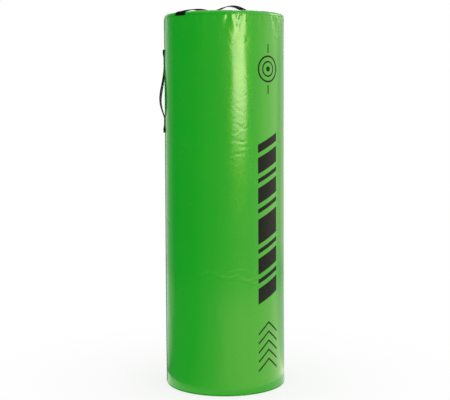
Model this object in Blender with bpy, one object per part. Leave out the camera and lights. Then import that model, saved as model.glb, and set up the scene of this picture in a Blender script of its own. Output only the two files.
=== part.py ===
"""Tackling bag: a foam cylinder in a sewn PVC cover, with webbing handles and a zipped base under a flap.

Metres, +Z up. The origin is the centre of the base on the bag's axis, and the bag stands on Z = 0.
The side handle is at -X, and the top handle runs on the diagonal from (-X, -Y) to (+X, +Y).
"""

import math

import bmesh
import bpy
from mathutils import Matrix, Vector

# Overall sizes
BAG_HEIGHT = 1.400
BAG_DIAMETER = 0.450
DOME_RISE = 0.004
SHOULDER_RADIUS = 0.012
BASE_CORNER_RADIUS = 0.003

# Fits and tolerances
GAP = 0.0003
OVERRUN = 0.002
JOIN_OVERLAP = 0.0004
MERGE_DISTANCE = 0.00001

# Cover sheet and seams
COVER_SHEET = 0.0010
BASE_SHEET = 0.0012
SEAM_ALLOWANCE = 0.012
TURN_RADIUS = 0.0015
BINDING_TAPE = 0.0006
BINDING_WIDTH = 0.008

# Webbing
WEBBING_WIDTH = 0.050
WEBBING_THICKNESS = 0.0025

# Side handle, lengths down the bag from its top
SIDE_HANDLE_DROP = 0.1325
SIDE_HANDLE_LENGTH = 0.315
SIDE_UPPER_TAB = 0.063
SIDE_LOWER_TAB = 0.054
SIDE_BOW_RISE = 0.0145
FOLD_LENGTH = 0.018
FOLD_RUN_OUT = 0.012

# Top handle, lengths along its diagonal
TOP_REAR_TACK_INSET = 0.050
TOP_TACK_LENGTH = 0.020
TOP_ARCH_LENGTH = 0.212
TOP_ARCH_RISE = 0.029
TOP_FRONT_PUFF_RISE = 0.007
TOP_REAR_PUFF_RISE = 0.0035

# Backing patches
PATCH_THICKNESS = 0.0010
TOP_PATCH_SIZE = 0.064
SIDE_PATCH_HEIGHT = 0.070

# Foam filling
PAD_THICKNESS = 0.050
CORE_DIAMETER = 0.240
INNER_SLEEVE_WALL = 0.052

# Pan in the base, which holds the zip and its flap off the ground
PAN_CENTRE = 0.050
PAN_WIDTH = 0.080
PAN_DEPTH = 0.008
PAN_WALL_RUN = 0.003
PAN_CORNER_RADIUS = 0.012
PAN_END_MARGIN = 0.0065

# Zip
CHAIN_LENGTH = 0.272
TOOTH_PITCH = 0.004
CHAIN_THICKNESS = 0.003
TAPE_THICKNESS = 0.0008
TAPE_WIDTH = 0.016
TAPE_END_MARGIN = 0.006
SPINE_EDGE = 0.0032
SPINE_WIDTH = 0.0010
TOOTH_REACH = 0.0019
NECK_WIDTH = 0.0011
HEAD_WIDTH = 0.0019
HEAD_TIP_WIDTH = 0.0012
SLOT_CLEARANCE = 0.0018
STOP_LENGTH = 0.0045
STOP_CLEARANCE = 0.001

# Slider and its pull
SLIDER_LENGTH = 0.020
SLIDER_NOSE_WIDTH = 0.0145
SLIDER_TAIL_WIDTH = 0.0115
SLIDER_PLATE = 0.0015
SLIDER_RAIL_INSIDE = 0.0040
SLIDER_RAIL_OUTSIDE = 0.0054
POST_LENGTH = 0.0050
POST_WIDTH = 0.0034
PIN_RADIUS = 0.0008
PIN_DROP = 0.0022
PIN_REACH = 0.0026
EAR_WIDTH = 0.0012
EYE_WALL = 0.0008
EYE_WIDTH = 0.0042
PULL_LENGTH = 0.030
PULL_WIDTH = 0.0085
PULL_THICKNESS = 0.0015

# Storm flap and its hook-and-loop strips
FLAP_END_LAP = 0.0015
FLAP_THICKNESS = 0.0012
FLAP_GROUND_CLEARANCE = 0.0025
FLAP_EDGE_CLEARANCE = 0.006
HOOK_WIDTH = 0.018
HOOK_THICKNESS = 0.0016
HOOK_END_MARGIN = 0.004
HOOK_EDGE_MARGIN = 0.002
HEM_WIDTH = 0.014

# Shares of the sizes that they follow
LAP_ROOT_DEPTH_SHARE = 0.75
TOOTH_HEAD_SHARE = 0.42
TOOTH_PHASE_SHARES = {"front": 0.3, "rear": 0.8}
FINGER_HOLE_PLACE_SHARE = 0.62
FINGER_HOLE_LENGTH_SHARE = 0.34
FINGER_HOLE_WIDTH_SHARE = 0.42
SLIDER_WAIST_SHARE = 2 / 3
BOW_SKEW_SHARE = 1.6
BOW_EASE_SHARE = 1.4
ARCH_EASE_SHARE = 1.1

# Counts and angles
ROUND_FACETS = 48
ARC_STEPS = 3
BEND_STEPS = 2
SHOULDER_STEPS = 4
LAP_HALF_FACETS = 2
PATCH_FACETS = 2
STRAP_STEPS = 4
BOW_STEPS = 16
ARCH_STEPS = 16
FRONT_PUFF_STEPS = 8
REAR_PUFF_STEPS = 6
SHARP_ANGLE = math.radians(35)
TOP_STRAP_HEADING = math.radians(45)
INNER_JOINT_HEADING = math.radians(-30)
OUTER_JOINT_HEADING = math.radians(60)
WEST = math.pi

# Worked out from the sizes above
RADIUS = BAG_DIAMETER / 2
FACET_ANGLE = 2 * math.pi / ROUND_FACETS
SHOULDER_CENTRE_RADIUS = RADIUS - SHOULDER_RADIUS
DOME_RADIUS = SHOULDER_RADIUS + (SHOULDER_CENTRE_RADIUS ** 2 + DOME_RISE ** 2) / (2 * DOME_RISE)
DOME_CENTRE_HEIGHT = BAG_HEIGHT - DOME_RADIUS
SHOULDER_CENTRE_HEIGHT = DOME_CENTRE_HEIGHT + math.sqrt(
    (DOME_RADIUS - SHOULDER_RADIUS) ** 2 - SHOULDER_CENTRE_RADIUS ** 2
)
SHOULDER_ANGLE = math.atan2(SHOULDER_CENTRE_HEIGHT - DOME_CENTRE_HEIGHT, SHOULDER_CENTRE_RADIUS)
TOP_SEAM_HEIGHT = SHOULDER_CENTRE_HEIGHT - TURN_RADIUS - GAP / 2
BASE_SEAM_HEIGHT = BASE_CORNER_RADIUS + TURN_RADIUS + GAP / 2
ALLOWANCE_EDGE = RADIUS - SEAM_ALLOWANCE
BINDING_BACK = ALLOWANCE_EDGE - GAP - BINDING_TAPE
FOAM_RADIUS = RADIUS - COVER_SHEET - GAP
FOAM_STEP_RADIUS = BINDING_BACK - GAP
LAP_RADIUS = RADIUS + GAP + COVER_SHEET

SIDE_HANDLE_TOP = BAG_HEIGHT - SIDE_HANDLE_DROP
SIDE_HANDLE_BOTTOM = SIDE_HANDLE_TOP - SIDE_HANDLE_LENGTH
TOP_REAR_TACK = SHOULDER_CENTRE_RADIUS - TOP_REAR_TACK_INSET
TOP_FRONT_TACK = TOP_REAR_TACK - TOP_TACK_LENGTH - TOP_ARCH_LENGTH

BASE_PAD_BOTTOM = BASE_SHEET + GAP
BASE_PAD_TOP = BASE_PAD_BOTTOM + PAD_THICKNESS
TOP_PAD_BOTTOM = TOP_SEAM_HEIGHT - PAD_THICKNESS
CORE_RADIUS = CORE_DIAMETER / 2
INNER_SLEEVE_RADIUS = CORE_RADIUS + GAP + INNER_SLEEVE_WALL

PAN_ROOF_TOP = PAN_DEPTH + BASE_SHEET
TAPE_BOTTOM = PAN_ROOF_TOP + GAP
TAPE_TOP = TAPE_BOTTOM + TAPE_THICKNESS
CHAIN_MIDDLE = TAPE_BOTTOM + TAPE_THICKNESS / 2
CHAIN_BOTTOM = CHAIN_MIDDLE - CHAIN_THICKNESS / 2
CHAIN_TOP = CHAIN_MIDDLE + CHAIN_THICKNESS / 2
TOOTH_COUNT = int(CHAIN_LENGTH / TOOTH_PITCH)
CHAIN_START = -CHAIN_LENGTH / 2

LOWER_PLATE_TOP = CHAIN_BOTTOM - GAP
LOWER_PLATE_BOTTOM = LOWER_PLATE_TOP - SLIDER_PLATE
UPPER_PLATE_BOTTOM = CHAIN_TOP + GAP
UPPER_PLATE_TOP = UPPER_PLATE_BOTTOM + SLIDER_PLATE
SLIDER_NOSE = CHAIN_START + CHAIN_LENGTH + POST_LENGTH + STOP_CLEARANCE
TOP_STOP_START = SLIDER_NOSE + STOP_CLEARANCE
BOTTOM_STOP_END = CHAIN_START - STOP_CLEARANCE
PIN_HEIGHT = LOWER_PLATE_TOP - PIN_DROP
EYE_BORE = PIN_RADIUS + GAP
EYE_RADIUS = EYE_BORE + EYE_WALL
PULL_BOTTOM = PIN_HEIGHT - EYE_RADIUS
EAR_INSIDE = EYE_WIDTH / 2 + GAP
SLOT_WIDTH = SLIDER_NOSE_WIDTH + 2 * SLOT_CLEARANCE
SLOT_LENGTH = 2 * (TOP_STOP_START + STOP_LENGTH + STOP_CLEARANCE)
TAPE_LENGTH = SLOT_LENGTH + 2 * TAPE_END_MARGIN
PAN_LENGTH = TAPE_LENGTH + 2 * PAN_END_MARGIN
FLAP_LENGTH = SLOT_LENGTH + 2 * FLAP_END_LAP

FLAP_TOP = FLAP_GROUND_CLEARANCE + FLAP_THICKNESS
FLAP_HINGE_HEIGHT = FLAP_GROUND_CLEARANCE + FLAP_THICKNESS / 2
FLAP_HINGE_PLACE = PAN_CENTRE - PAN_WIDTH / 2 + FLAP_EDGE_CLEARANCE
FLAP_FREE_PLACE = PAN_CENTRE + PAN_WIDTH / 2 - FLAP_EDGE_CLEARANCE
HOOK_FAR_PLACE = FLAP_FREE_PLACE - HOOK_EDGE_MARGIN
HOOK_NEAR_PLACE = HOOK_FAR_PLACE - HOOK_WIDTH
HOOK_BOTTOM = FLAP_TOP + GAP
HOOK_TOP = HOOK_BOTTOM + HOOK_THICKNESS
LOOP_BOTTOM = HOOK_TOP + GAP
LOOP_TOP = PAN_DEPTH - GAP

# Colours as linear red, green and blue
GREEN_PVC = (0.022, 0.340, 0.030)
BACKING_GREY = (0.210, 0.220, 0.215)
BLACK_WEBBING = (0.012, 0.013, 0.014)
BINDING_BLACK = (0.020, 0.020, 0.021)
CORE_FOAM = (0.240, 0.245, 0.260)
SOFT_FOAM = (0.620, 0.590, 0.480)
TAPE_BLACK = (0.018, 0.018, 0.020)
TEETH_BLACK = (0.030, 0.030, 0.032)
SLIDER_METAL = (0.560, 0.570, 0.580)
HOOK_BLACK = (0.025, 0.025, 0.027)


def clear_scene():
    """Remove every object that the file holds."""
    for old in list(bpy.data.objects):
        bpy.data.objects.remove(old, do_unlink=True)


def make_material(name, colour, roughness, metallic=0.0):
    """A Principled material with one colour."""
    material = bpy.data.materials.new(name)
    material.use_nodes = True
    shader = material.node_tree.nodes["Principled BSDF"]
    shader.inputs["Base Color"].default_value = (*colour, 1.0)
    shader.inputs["Roughness"].default_value = roughness
    shader.inputs["Metallic"].default_value = metallic
    return material


def make_object(name, mesh_data, material=None):
    """Turn a bmesh into a named object with outward faces."""
    bmesh.ops.remove_doubles(mesh_data, verts=mesh_data.verts, dist=MERGE_DISTANCE)
    bmesh.ops.recalc_face_normals(mesh_data, faces=mesh_data.faces)
    mesh = bpy.data.meshes.new(name)
    mesh_data.to_mesh(mesh)
    mesh_data.free()
    if material:
        mesh.materials.append(material)
    made = bpy.data.objects.new(name, mesh)
    bpy.context.scene.collection.objects.link(made)
    return made


def hide_helper(helper):
    """Mark an object as a helper shape that is not part of the bag."""
    helper.hide_render = True
    helper.display_type = "WIRE"
    return helper


def apply_shape(target, helper, operation):
    """Join a helper shape to an object, or cut it away."""
    hide_helper(helper)
    modifier = target.modifiers.new(operation.title() + " " + helper.name, "BOOLEAN")
    modifier.operation = operation
    modifier.solver = "EXACT"
    modifier.object = helper


def make_axis(name, place, parent=None):
    """An empty that marks where a moving body turns or slides."""
    axis = bpy.data.objects.new(name, None)
    axis.location = place
    axis.parent = parent
    bpy.context.scene.collection.objects.link(axis)
    return axis


def smooth_round(piece):
    """Shade a round piece smooth and keep its real edges sharp."""
    piece.data.shade_smooth()
    piece.data.set_sharp_from_angle(angle=SHARP_ANGLE)


def arc(centre, radius, start, end, steps):
    """Points along an arc between two angles, both ends included."""
    points = []
    for step in range(steps + 1):
        angle = start + (end - start) * step / steps
        points.append((centre[0] + radius * math.cos(angle), centre[1] + radius * math.sin(angle)))
    return points


def strip_outline(path, thickness):
    """Closed outline of a strip that runs along an open path, half its thickness to each side."""
    left, right = [], []
    places = [Vector(point) for point in path]
    steps = [(after - before).normalized() for before, after in zip(places, places[1:])]
    for index, place in enumerate(places):
        incoming = steps[max(index - 1, 0)]
        outgoing = steps[min(index, len(steps) - 1)]
        direction = (incoming + outgoing).normalized()
        normal = Vector((-direction.y, direction.x))
        reach = thickness / 2 / normal.dot(Vector((-incoming.y, incoming.x)))
        left.append(place + normal * reach)
        right.append(place - normal * reach)
    return [tuple(point) for point in left + right[::-1]]


def fill_open_ends(mesh_data):
    """Close the open ends of a swept shape with flat caps."""
    rims = [edge for edge in mesh_data.edges if edge.is_boundary]
    bmesh.ops.holes_fill(mesh_data, edges=rims, sides=0)


def turned(name, section, material=None, start=0.0, sweep=2 * math.pi, steps=ROUND_FACETS):
    """Spin a section, given as radius and height, about the bag's axis."""
    full_turn = math.isclose(sweep, 2 * math.pi)
    open_section = full_turn and section[0][0] == 0 and section[-1][0] == 0
    mesh_data = bmesh.new()
    corners = []
    for radius, height in section:
        corners.append(mesh_data.verts.new((radius * math.cos(start), radius * math.sin(start), height)))
    sides = [mesh_data.edges.new(pair) for pair in zip(corners, corners[1:])]
    if not open_section:
        sides.append(mesh_data.edges.new((corners[-1], corners[0])))
    bmesh.ops.spin(
        mesh_data, geom=corners + sides, cent=(0, 0, 0), axis=(0, 0, 1),
        angle=sweep, steps=steps, use_merge=full_turn,
    )
    bmesh.ops.remove_doubles(mesh_data, verts=mesh_data.verts, dist=MERGE_DISTANCE)
    if not full_turn:
        fill_open_ends(mesh_data)
    return make_object(name, mesh_data, material)


def extruded(name, outline, low, high, material=None, along="Z"):
    """Extrude a flat outline between two places along an axis.

    The outline is (x, y) along Z, (x, z) along Y and (y, z) along X.
    """
    layouts = {"Z": lambda a, b: (a, b, low), "Y": lambda a, b: (a, low, b), "X": lambda a, b: (low, a, b)}
    travel = {"Z": (0, 0, high - low), "Y": (0, high - low, 0), "X": (high - low, 0, 0)}[along]
    mesh_data = bmesh.new()
    corners = [mesh_data.verts.new(layouts[along](*point)) for point in outline]
    face = mesh_data.faces.new(corners)
    grown = bmesh.ops.extrude_face_region(mesh_data, geom=[face])
    moved = [item for item in grown["geom"] if isinstance(item, bmesh.types.BMVert)]
    bmesh.ops.translate(mesh_data, verts=moved, vec=travel)
    fill_open_ends(mesh_data)
    return make_object(name, mesh_data, material)


def box(name, low, high, material=None):
    """A box between two opposite corners."""
    outline = [(low[0], low[1]), (high[0], low[1]), (high[0], high[1]), (low[0], high[1])]
    return extruded(name, outline, low[2], high[2], material)


def rounded_rectangle(centre, length, width, corner_radius):
    """Outline of a rectangle with round corners."""
    outline = []
    for quarter, (side_x, side_y) in enumerate([(1, 1), (-1, 1), (-1, -1), (1, -1)]):
        corner = (
            centre[0] + side_x * (length / 2 - corner_radius),
            centre[1] + side_y * (width / 2 - corner_radius),
        )
        start = quarter * math.pi / 2
        outline += arc(corner, corner_radius, start, start + math.pi / 2, ARC_STEPS)
    return outline


def tapered_block(name, growth, low, high):
    """A block with round corners whose walls lean in like the pan's, grown outward on every side."""
    lean = PAN_WALL_RUN / PAN_DEPTH
    mesh_data = bmesh.new()
    rings = []
    for height in (low, high):
        inset = height * lean
        outline = rounded_rectangle(
            (0, PAN_CENTRE),
            PAN_LENGTH + 2 * (growth - inset),
            PAN_WIDTH + 2 * (growth - inset),
            PAN_CORNER_RADIUS + growth - inset,
        )
        rings.append([mesh_data.verts.new((x, y, height)) for x, y in outline])
    mesh_data.faces.new(rings[0])
    mesh_data.faces.new(rings[1])
    count = len(rings[0])
    for index in range(count):
        following = (index + 1) % count
        low_edge = (rings[0][index], rings[0][following])
        high_edge = (rings[1][following], rings[1][index])
        mesh_data.faces.new(low_edge + high_edge)
    return make_object(name, mesh_data)


def top_section(depth, lowest_angle=0.0, steps=SHOULDER_STEPS):
    """Half section of the bag's top at a depth under its outer face, from the axis to the shoulder's foot."""
    dome = arc((0, DOME_CENTRE_HEIGHT), DOME_RADIUS - depth, math.pi / 2, SHOULDER_ANGLE, ARC_STEPS)
    dome[0] = (0, BAG_HEIGHT - depth)
    centre = (SHOULDER_CENTRE_RADIUS, SHOULDER_CENTRE_HEIGHT)
    shoulder = arc(centre, SHOULDER_RADIUS - depth, SHOULDER_ANGLE, lowest_angle, steps)
    return dome + shoulder[1:]


def inward_turn(depth, centre_height, start, end):
    """The small bend where a sheet turns inward at a seam, at a depth under its outer face."""
    centre = (RADIUS - TURN_RADIUS, centre_height)
    return arc(centre, TURN_RADIUS - depth, start, end, BEND_STEPS)


def make_side_panel(material):
    """The rolled sheet round the bag: turned in at both ends and lapped down one side."""
    def face(depth):
        low = BASE_SEAM_HEIGHT + GAP / 2 + TURN_RADIUS
        high = TOP_SEAM_HEIGHT - GAP / 2 - TURN_RADIUS
        lower = inward_turn(depth, low, -math.pi / 2, 0)
        upper = inward_turn(depth, high, 0, math.pi / 2)
        first = (ALLOWANCE_EDGE, lower[0][1])
        last = (ALLOWANCE_EDGE, upper[-1][1])
        return [first] + lower + upper + [last]

    panel = turned("side_panel", face(0) + face(COVER_SHEET)[::-1], material)
    slit = box(
        "side_panel_slit",
        (-RADIUS - OVERRUN, -GAP / 2, 0),
        (-ALLOWANCE_EDGE + OVERRUN, GAP / 2, BAG_HEIGHT),
    )
    apply_shape(panel, slit, "DIFFERENCE")
    low = BASE_SEAM_HEIGHT + TURN_RADIUS
    high = TOP_SEAM_HEIGHT - TURN_RADIUS
    buried = RADIUS - COVER_SHEET * LAP_ROOT_DEPTH_SHARE
    root = turned(
        "side_panel_lap_root",
        [(buried, low), (LAP_RADIUS, low), (LAP_RADIUS, high), (buried, high)],
        start=WEST - FACET_ANGLE / 2, sweep=FACET_ANGLE / 2 - GAP / RADIUS, steps=1,
    )
    lap = turned(
        "side_panel_lap",
        [(RADIUS + GAP, low), (LAP_RADIUS, low), (LAP_RADIUS, high), (RADIUS + GAP, high)],
        start=WEST - FACET_ANGLE / 2, sweep=(1 + LAP_HALF_FACETS) * FACET_ANGLE / 2,
        steps=1 + LAP_HALF_FACETS,
    )
    apply_shape(panel, root, "UNION")
    apply_shape(panel, lap, "UNION")
    smooth_round(panel)
    return panel


def make_top_panel(material):
    """The domed disc, with its edge turned in at the top seam."""
    def face(depth):
        bend = inward_turn(depth, SHOULDER_CENTRE_HEIGHT, 0, -math.pi / 2)
        return top_section(depth) + bend[1:] + [(ALLOWANCE_EDGE, bend[-1][1])]

    panel = turned("top_panel", face(0) + face(COVER_SHEET)[::-1], material)
    smooth_round(panel)
    return panel


def make_base_panel(material):
    """The disc that the bag stands on, with the pan for the zip and the slot that the zip closes."""
    def face(depth):
        corner_centre = (RADIUS - BASE_CORNER_RADIUS, BASE_CORNER_RADIUS)
        corner = arc(corner_centre, BASE_CORNER_RADIUS - depth, -math.pi / 2, 0, BEND_STEPS)
        bend = inward_turn(depth, BASE_CORNER_RADIUS, 0, math.pi / 2)
        return [(0, depth)] + corner + bend[1:] + [(ALLOWANCE_EDGE, bend[-1][1])]

    panel = turned("base_panel", face(0) + face(BASE_SHEET)[::-1], material)
    body = tapered_block("base_pan_body", BASE_SHEET, BASE_SHEET / 2, PAN_ROOF_TOP)
    hollow = tapered_block("base_pan_hollow", 0, -OVERRUN, PAN_DEPTH)
    slot = box(
        "base_zip_slot",
        (-SLOT_LENGTH / 2, PAN_CENTRE - SLOT_WIDTH / 2, PAN_DEPTH - OVERRUN),
        (SLOT_LENGTH / 2, PAN_CENTRE + SLOT_WIDTH / 2, PAN_ROOF_TOP + OVERRUN),
    )
    apply_shape(panel, body, "UNION")
    apply_shape(panel, hollow, "DIFFERENCE")
    apply_shape(panel, slot, "DIFFERENCE")
    smooth_round(panel)
    return panel


def binding_faces(seam_height, sheet_below, sheet_above):
    """The lower and upper inside faces of a binding round the two allowances of a seam."""
    return seam_height - GAP / 2 - sheet_below - GAP, seam_height + GAP / 2 + sheet_above + GAP


def make_binding(name, seam_height, sheet_below, sheet_above, material):
    """A tape folded round the raw edges of a seam inside the cover."""
    low, high = binding_faces(seam_height, sheet_below, sheet_above)
    edge = BINDING_BACK + BINDING_WIDTH
    fold = BINDING_BACK + BINDING_TAPE
    section = [
        (edge, low), (fold, low), (fold, high), (edge, high),
        (edge, high + BINDING_TAPE), (BINDING_BACK, high + BINDING_TAPE),
        (BINDING_BACK, low - BINDING_TAPE), (edge, low - BINDING_TAPE),
    ]
    return turned(name, section, material)


def eased_hump(share, ease):
    """A hump from 0 to 1 and back that leaves and lands softly."""
    return math.sin(math.pi * min(max(share, 0), 1)) ** ease


def make_side_handle(material):
    """The webbing on the bag's side: a folded tab at each end and a free bow that is fullest low down."""
    near = LAP_RADIUS + GAP + WEBBING_THICKNESS / 2
    far = near + WEBBING_THICKNESS + GAP
    bend = (far - near) / 2
    top_bend_height = SIDE_HANDLE_TOP - WEBBING_THICKNESS / 2 - bend
    low_bend_height = SIDE_HANDLE_BOTTOM + WEBBING_THICKNESS / 2 + bend
    upper_fold_end = SIDE_HANDLE_TOP - FOLD_LENGTH
    lower_fold_end = SIDE_HANDLE_BOTTOM + FOLD_LENGTH
    bow_top = SIDE_HANDLE_TOP - SIDE_UPPER_TAB
    bow_bottom = SIDE_HANDLE_BOTTOM + SIDE_LOWER_TAB

    path = [(near, upper_fold_end)]
    path += arc((near + bend, top_bend_height), bend, math.pi, 0, 2 * ARC_STEPS)
    path += [(far, upper_fold_end), (near, upper_fold_end - FOLD_RUN_OUT)]
    for step in range(BOW_STEPS + 1):
        share = step / BOW_STEPS
        rise = SIDE_BOW_RISE * eased_hump(share ** BOW_SKEW_SHARE, BOW_EASE_SHARE)
        path.append((near + rise, bow_top + (bow_bottom - bow_top) * share))
    path += [(near, lower_fold_end + FOLD_RUN_OUT), (far, lower_fold_end)]
    path += arc((near + bend, low_bend_height), bend, 0, -math.pi, 2 * ARC_STEPS)
    path.append((near, lower_fold_end))

    spread = WEBBING_WIDTH / near
    strap = turned(
        "side_handle_strap", strip_outline(path, WEBBING_THICKNESS), material,
        start=WEST - spread / 2, sweep=spread, steps=STRAP_STEPS,
    )
    smooth_round(strap)
    return strap


def top_handle_path():
    """The top strap's middle line along its diagonal: over the shoulder, puffed, tacked, arched and back."""
    lift = GAP + WEBBING_THICKNESS / 2
    shoulder_reach = SHOULDER_RADIUS + lift
    half_tack = TOP_TACK_LENGTH / 2
    spans = [
        (-SHOULDER_CENTRE_RADIUS, TOP_FRONT_TACK - half_tack, TOP_FRONT_PUFF_RISE, FRONT_PUFF_STEPS),
        (TOP_FRONT_TACK + half_tack, TOP_REAR_TACK - half_tack, TOP_ARCH_RISE, ARCH_STEPS),
        (TOP_REAR_TACK + half_tack, SHOULDER_CENTRE_RADIUS, TOP_REAR_PUFF_RISE, REAR_PUFF_STEPS),
    ]
    front = (-SHOULDER_CENTRE_RADIUS, SHOULDER_CENTRE_HEIGHT)
    rear = (SHOULDER_CENTRE_RADIUS, SHOULDER_CENTRE_HEIGHT)
    path = [(-RADIUS - lift, TOP_SEAM_HEIGHT)]
    path += arc(front, shoulder_reach, math.pi, math.pi - SHOULDER_ANGLE, 2 * ARC_STEPS)
    for start, end, rise, steps in spans:
        for step in range(steps + 1):
            place = start + (end - start) * step / steps
            ground = DOME_CENTRE_HEIGHT + math.sqrt((DOME_RADIUS + lift) ** 2 - place ** 2)
            point = (place, ground + rise * eased_hump(step / steps, ARCH_EASE_SHARE))
            if (Vector(point) - Vector(path[-1])).length > lift:
                path.append(point)
    path += arc(rear, shoulder_reach, SHOULDER_ANGLE, 0, 2 * ARC_STEPS)[1:]
    path.append((RADIUS + lift, TOP_SEAM_HEIGHT))
    return path


def make_top_handle(material):
    """The webbing over the bag's top, caught in the top seam at both ends."""
    outline = strip_outline(top_handle_path(), WEBBING_THICKNESS)
    strap = extruded(
        "top_handle_strap", outline, -WEBBING_WIDTH / 2, WEBBING_WIDTH / 2, material, along="Y",
    )
    strap.rotation_euler.z = TOP_STRAP_HEADING
    smooth_round(strap)
    return strap


def top_patch_frame(place):
    """Where a backing patch sits under the dome: turned with the strap and laid along the dome's slope."""
    slope = math.asin(place / DOME_RADIUS)
    heading = Matrix.Rotation(TOP_STRAP_HEADING, 4, "Z")
    centre = Matrix.Translation((0, 0, DOME_CENTRE_HEIGHT))
    return heading @ centre @ Matrix.Rotation(slope, 4, "Y")


def make_top_patch(name, place, growth, material=None):
    """A square backing patch, or its pocket in the foam when it is grown."""
    under_cover = DOME_RADIUS - COVER_SHEET - 2 * GAP
    half = TOP_PATCH_SIZE / 2 + growth
    patch = box(
        name,
        (-half, -half, under_cover - PATCH_THICKNESS - growth),
        (half, half, under_cover + (OVERRUN if growth else 0)),
        material,
    )
    patch.matrix_world = top_patch_frame(place)
    return patch


def make_side_patch(name, middle, growth, material=None):
    """A curved backing patch behind the side handle, or its pocket in the foam when it is grown."""
    outer = RADIUS - COVER_SHEET - GAP + (OVERRUN if growth else 0)
    inner = RADIUS - COVER_SHEET - GAP - PATCH_THICKNESS - growth
    half_height = SIDE_PATCH_HEIGHT / 2 + growth
    half_sweep = PATCH_FACETS * FACET_ANGLE / 2 + growth / inner
    section = [
        (inner, middle - half_height), (outer, middle - half_height),
        (outer, middle + half_height), (inner, middle + half_height),
    ]
    return turned(
        name, section, material,
        start=WEST - half_sweep, sweep=2 * half_sweep, steps=PATCH_FACETS,
    )


def side_patch_heights():
    """Middle heights of the two side patches, each behind its tab."""
    return SIDE_HANDLE_TOP - SIDE_UPPER_TAB / 2, SIDE_HANDLE_BOTTOM + SIDE_LOWER_TAB / 2


def make_rolled_sleeve(name, inner, outer, seam_heading, material):
    """A foam sheet rolled to a sleeve, with a butt joint where its ends meet."""
    low = BASE_PAD_TOP + GAP
    high = TOP_PAD_BOTTOM - GAP
    sleeve = turned(name, [(inner, low), (outer, low), (outer, high), (inner, high)], material)
    joint = box(
        name + "_joint",
        (inner - OVERRUN, -GAP / 2, low - OVERRUN),
        (outer + OVERRUN, GAP / 2, high + OVERRUN),
    )
    joint.rotation_euler.z = seam_heading
    apply_shape(sleeve, joint, "DIFFERENCE")
    smooth_round(sleeve)
    return sleeve


def make_filling(core_material, soft_material):
    """The foam inside the cover: a firm core, two rolled sleeves and a pad at each end."""
    low = BASE_PAD_TOP + GAP
    high = TOP_PAD_BOTTOM - GAP
    section = [(0, low), (CORE_RADIUS, low), (CORE_RADIUS, high), (0, high)]
    core = turned("firm_core", section, core_material)
    smooth_round(core)
    make_rolled_sleeve(
        "soft_sleeve_inner", CORE_RADIUS + GAP, INNER_SLEEVE_RADIUS, INNER_JOINT_HEADING, soft_material,
    )
    outer = make_rolled_sleeve(
        "soft_sleeve_outer", INNER_SLEEVE_RADIUS + GAP, FOAM_RADIUS, OUTER_JOINT_HEADING, soft_material,
    )
    for part, middle in zip(("upper", "lower"), side_patch_heights()):
        apply_shape(outer, make_side_patch("side_pocket_" + part, middle, 2 * GAP), "DIFFERENCE")
    make_top_pad(soft_material)
    make_base_pad(soft_material)


def make_top_pad(material):
    """The foam disc under the top, grooved round the seam and pocketed for the patches."""
    groove_low, groove_high = binding_faces(TOP_SEAM_HEIGHT, COVER_SHEET, COVER_SHEET)
    groove_low -= BINDING_TAPE + GAP
    groove_high += BINDING_TAPE + GAP
    depth = COVER_SHEET + GAP
    lip_angle = math.asin((groove_high - SHOULDER_CENTRE_HEIGHT) / (SHOULDER_RADIUS - depth))
    crown = top_section(depth, lip_angle, BEND_STEPS)
    skirt = [
        (FOAM_STEP_RADIUS, groove_high), (FOAM_STEP_RADIUS, groove_low),
        (FOAM_RADIUS, groove_low), (FOAM_RADIUS, TOP_PAD_BOTTOM), (0, TOP_PAD_BOTTOM),
    ]
    pad = turned("top_pad", crown + skirt, material)
    for part, place in (("front", TOP_FRONT_TACK), ("rear", TOP_REAR_TACK)):
        apply_shape(pad, make_top_patch("top_pocket_" + part, place, 2 * GAP), "DIFFERENCE")
    smooth_round(pad)
    return pad


def make_base_pad(material):
    """The foam disc over the base, stepped round the seam and hollowed over the pan and the slider's way."""
    step_height = binding_faces(BASE_SEAM_HEIGHT, BASE_SHEET, COVER_SHEET)[1] + BINDING_TAPE + GAP
    pad = turned(
        "base_pad",
        [
            (0, BASE_PAD_BOTTOM), (FOAM_STEP_RADIUS, BASE_PAD_BOTTOM), (FOAM_STEP_RADIUS, step_height),
            (FOAM_RADIUS, step_height), (FOAM_RADIUS, BASE_PAD_TOP), (0, BASE_PAD_TOP),
        ],
        material,
    )
    over_pan = tapered_block("base_pad_hollow", BASE_SHEET + 2 * GAP, 0, TAPE_TOP + GAP)
    over_slider = box(
        "base_pad_channel",
        (-SLOT_LENGTH / 2, PAN_CENTRE - SLOT_WIDTH / 2, BASE_PAD_BOTTOM),
        (SLOT_LENGTH / 2, PAN_CENTRE + SLOT_WIDTH / 2, UPPER_PLATE_TOP + GAP),
    )
    apply_shape(pad, over_pan, "DIFFERENCE")
    apply_shape(pad, over_slider, "DIFFERENCE")
    smooth_round(pad)
    return pad


def make_tape(name, side, material):
    """One zip tape, from the teeth's spine out over the pan's roof."""
    near = SPINE_EDGE + GAP
    far = near + TAPE_WIDTH
    half_length = TAPE_LENGTH / 2
    edges = sorted((PAN_CENTRE + side * near, PAN_CENTRE + side * far))
    return box(name, (-half_length, edges[0], TAPE_BOTTOM), (half_length, edges[1], TAPE_TOP), material)


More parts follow.
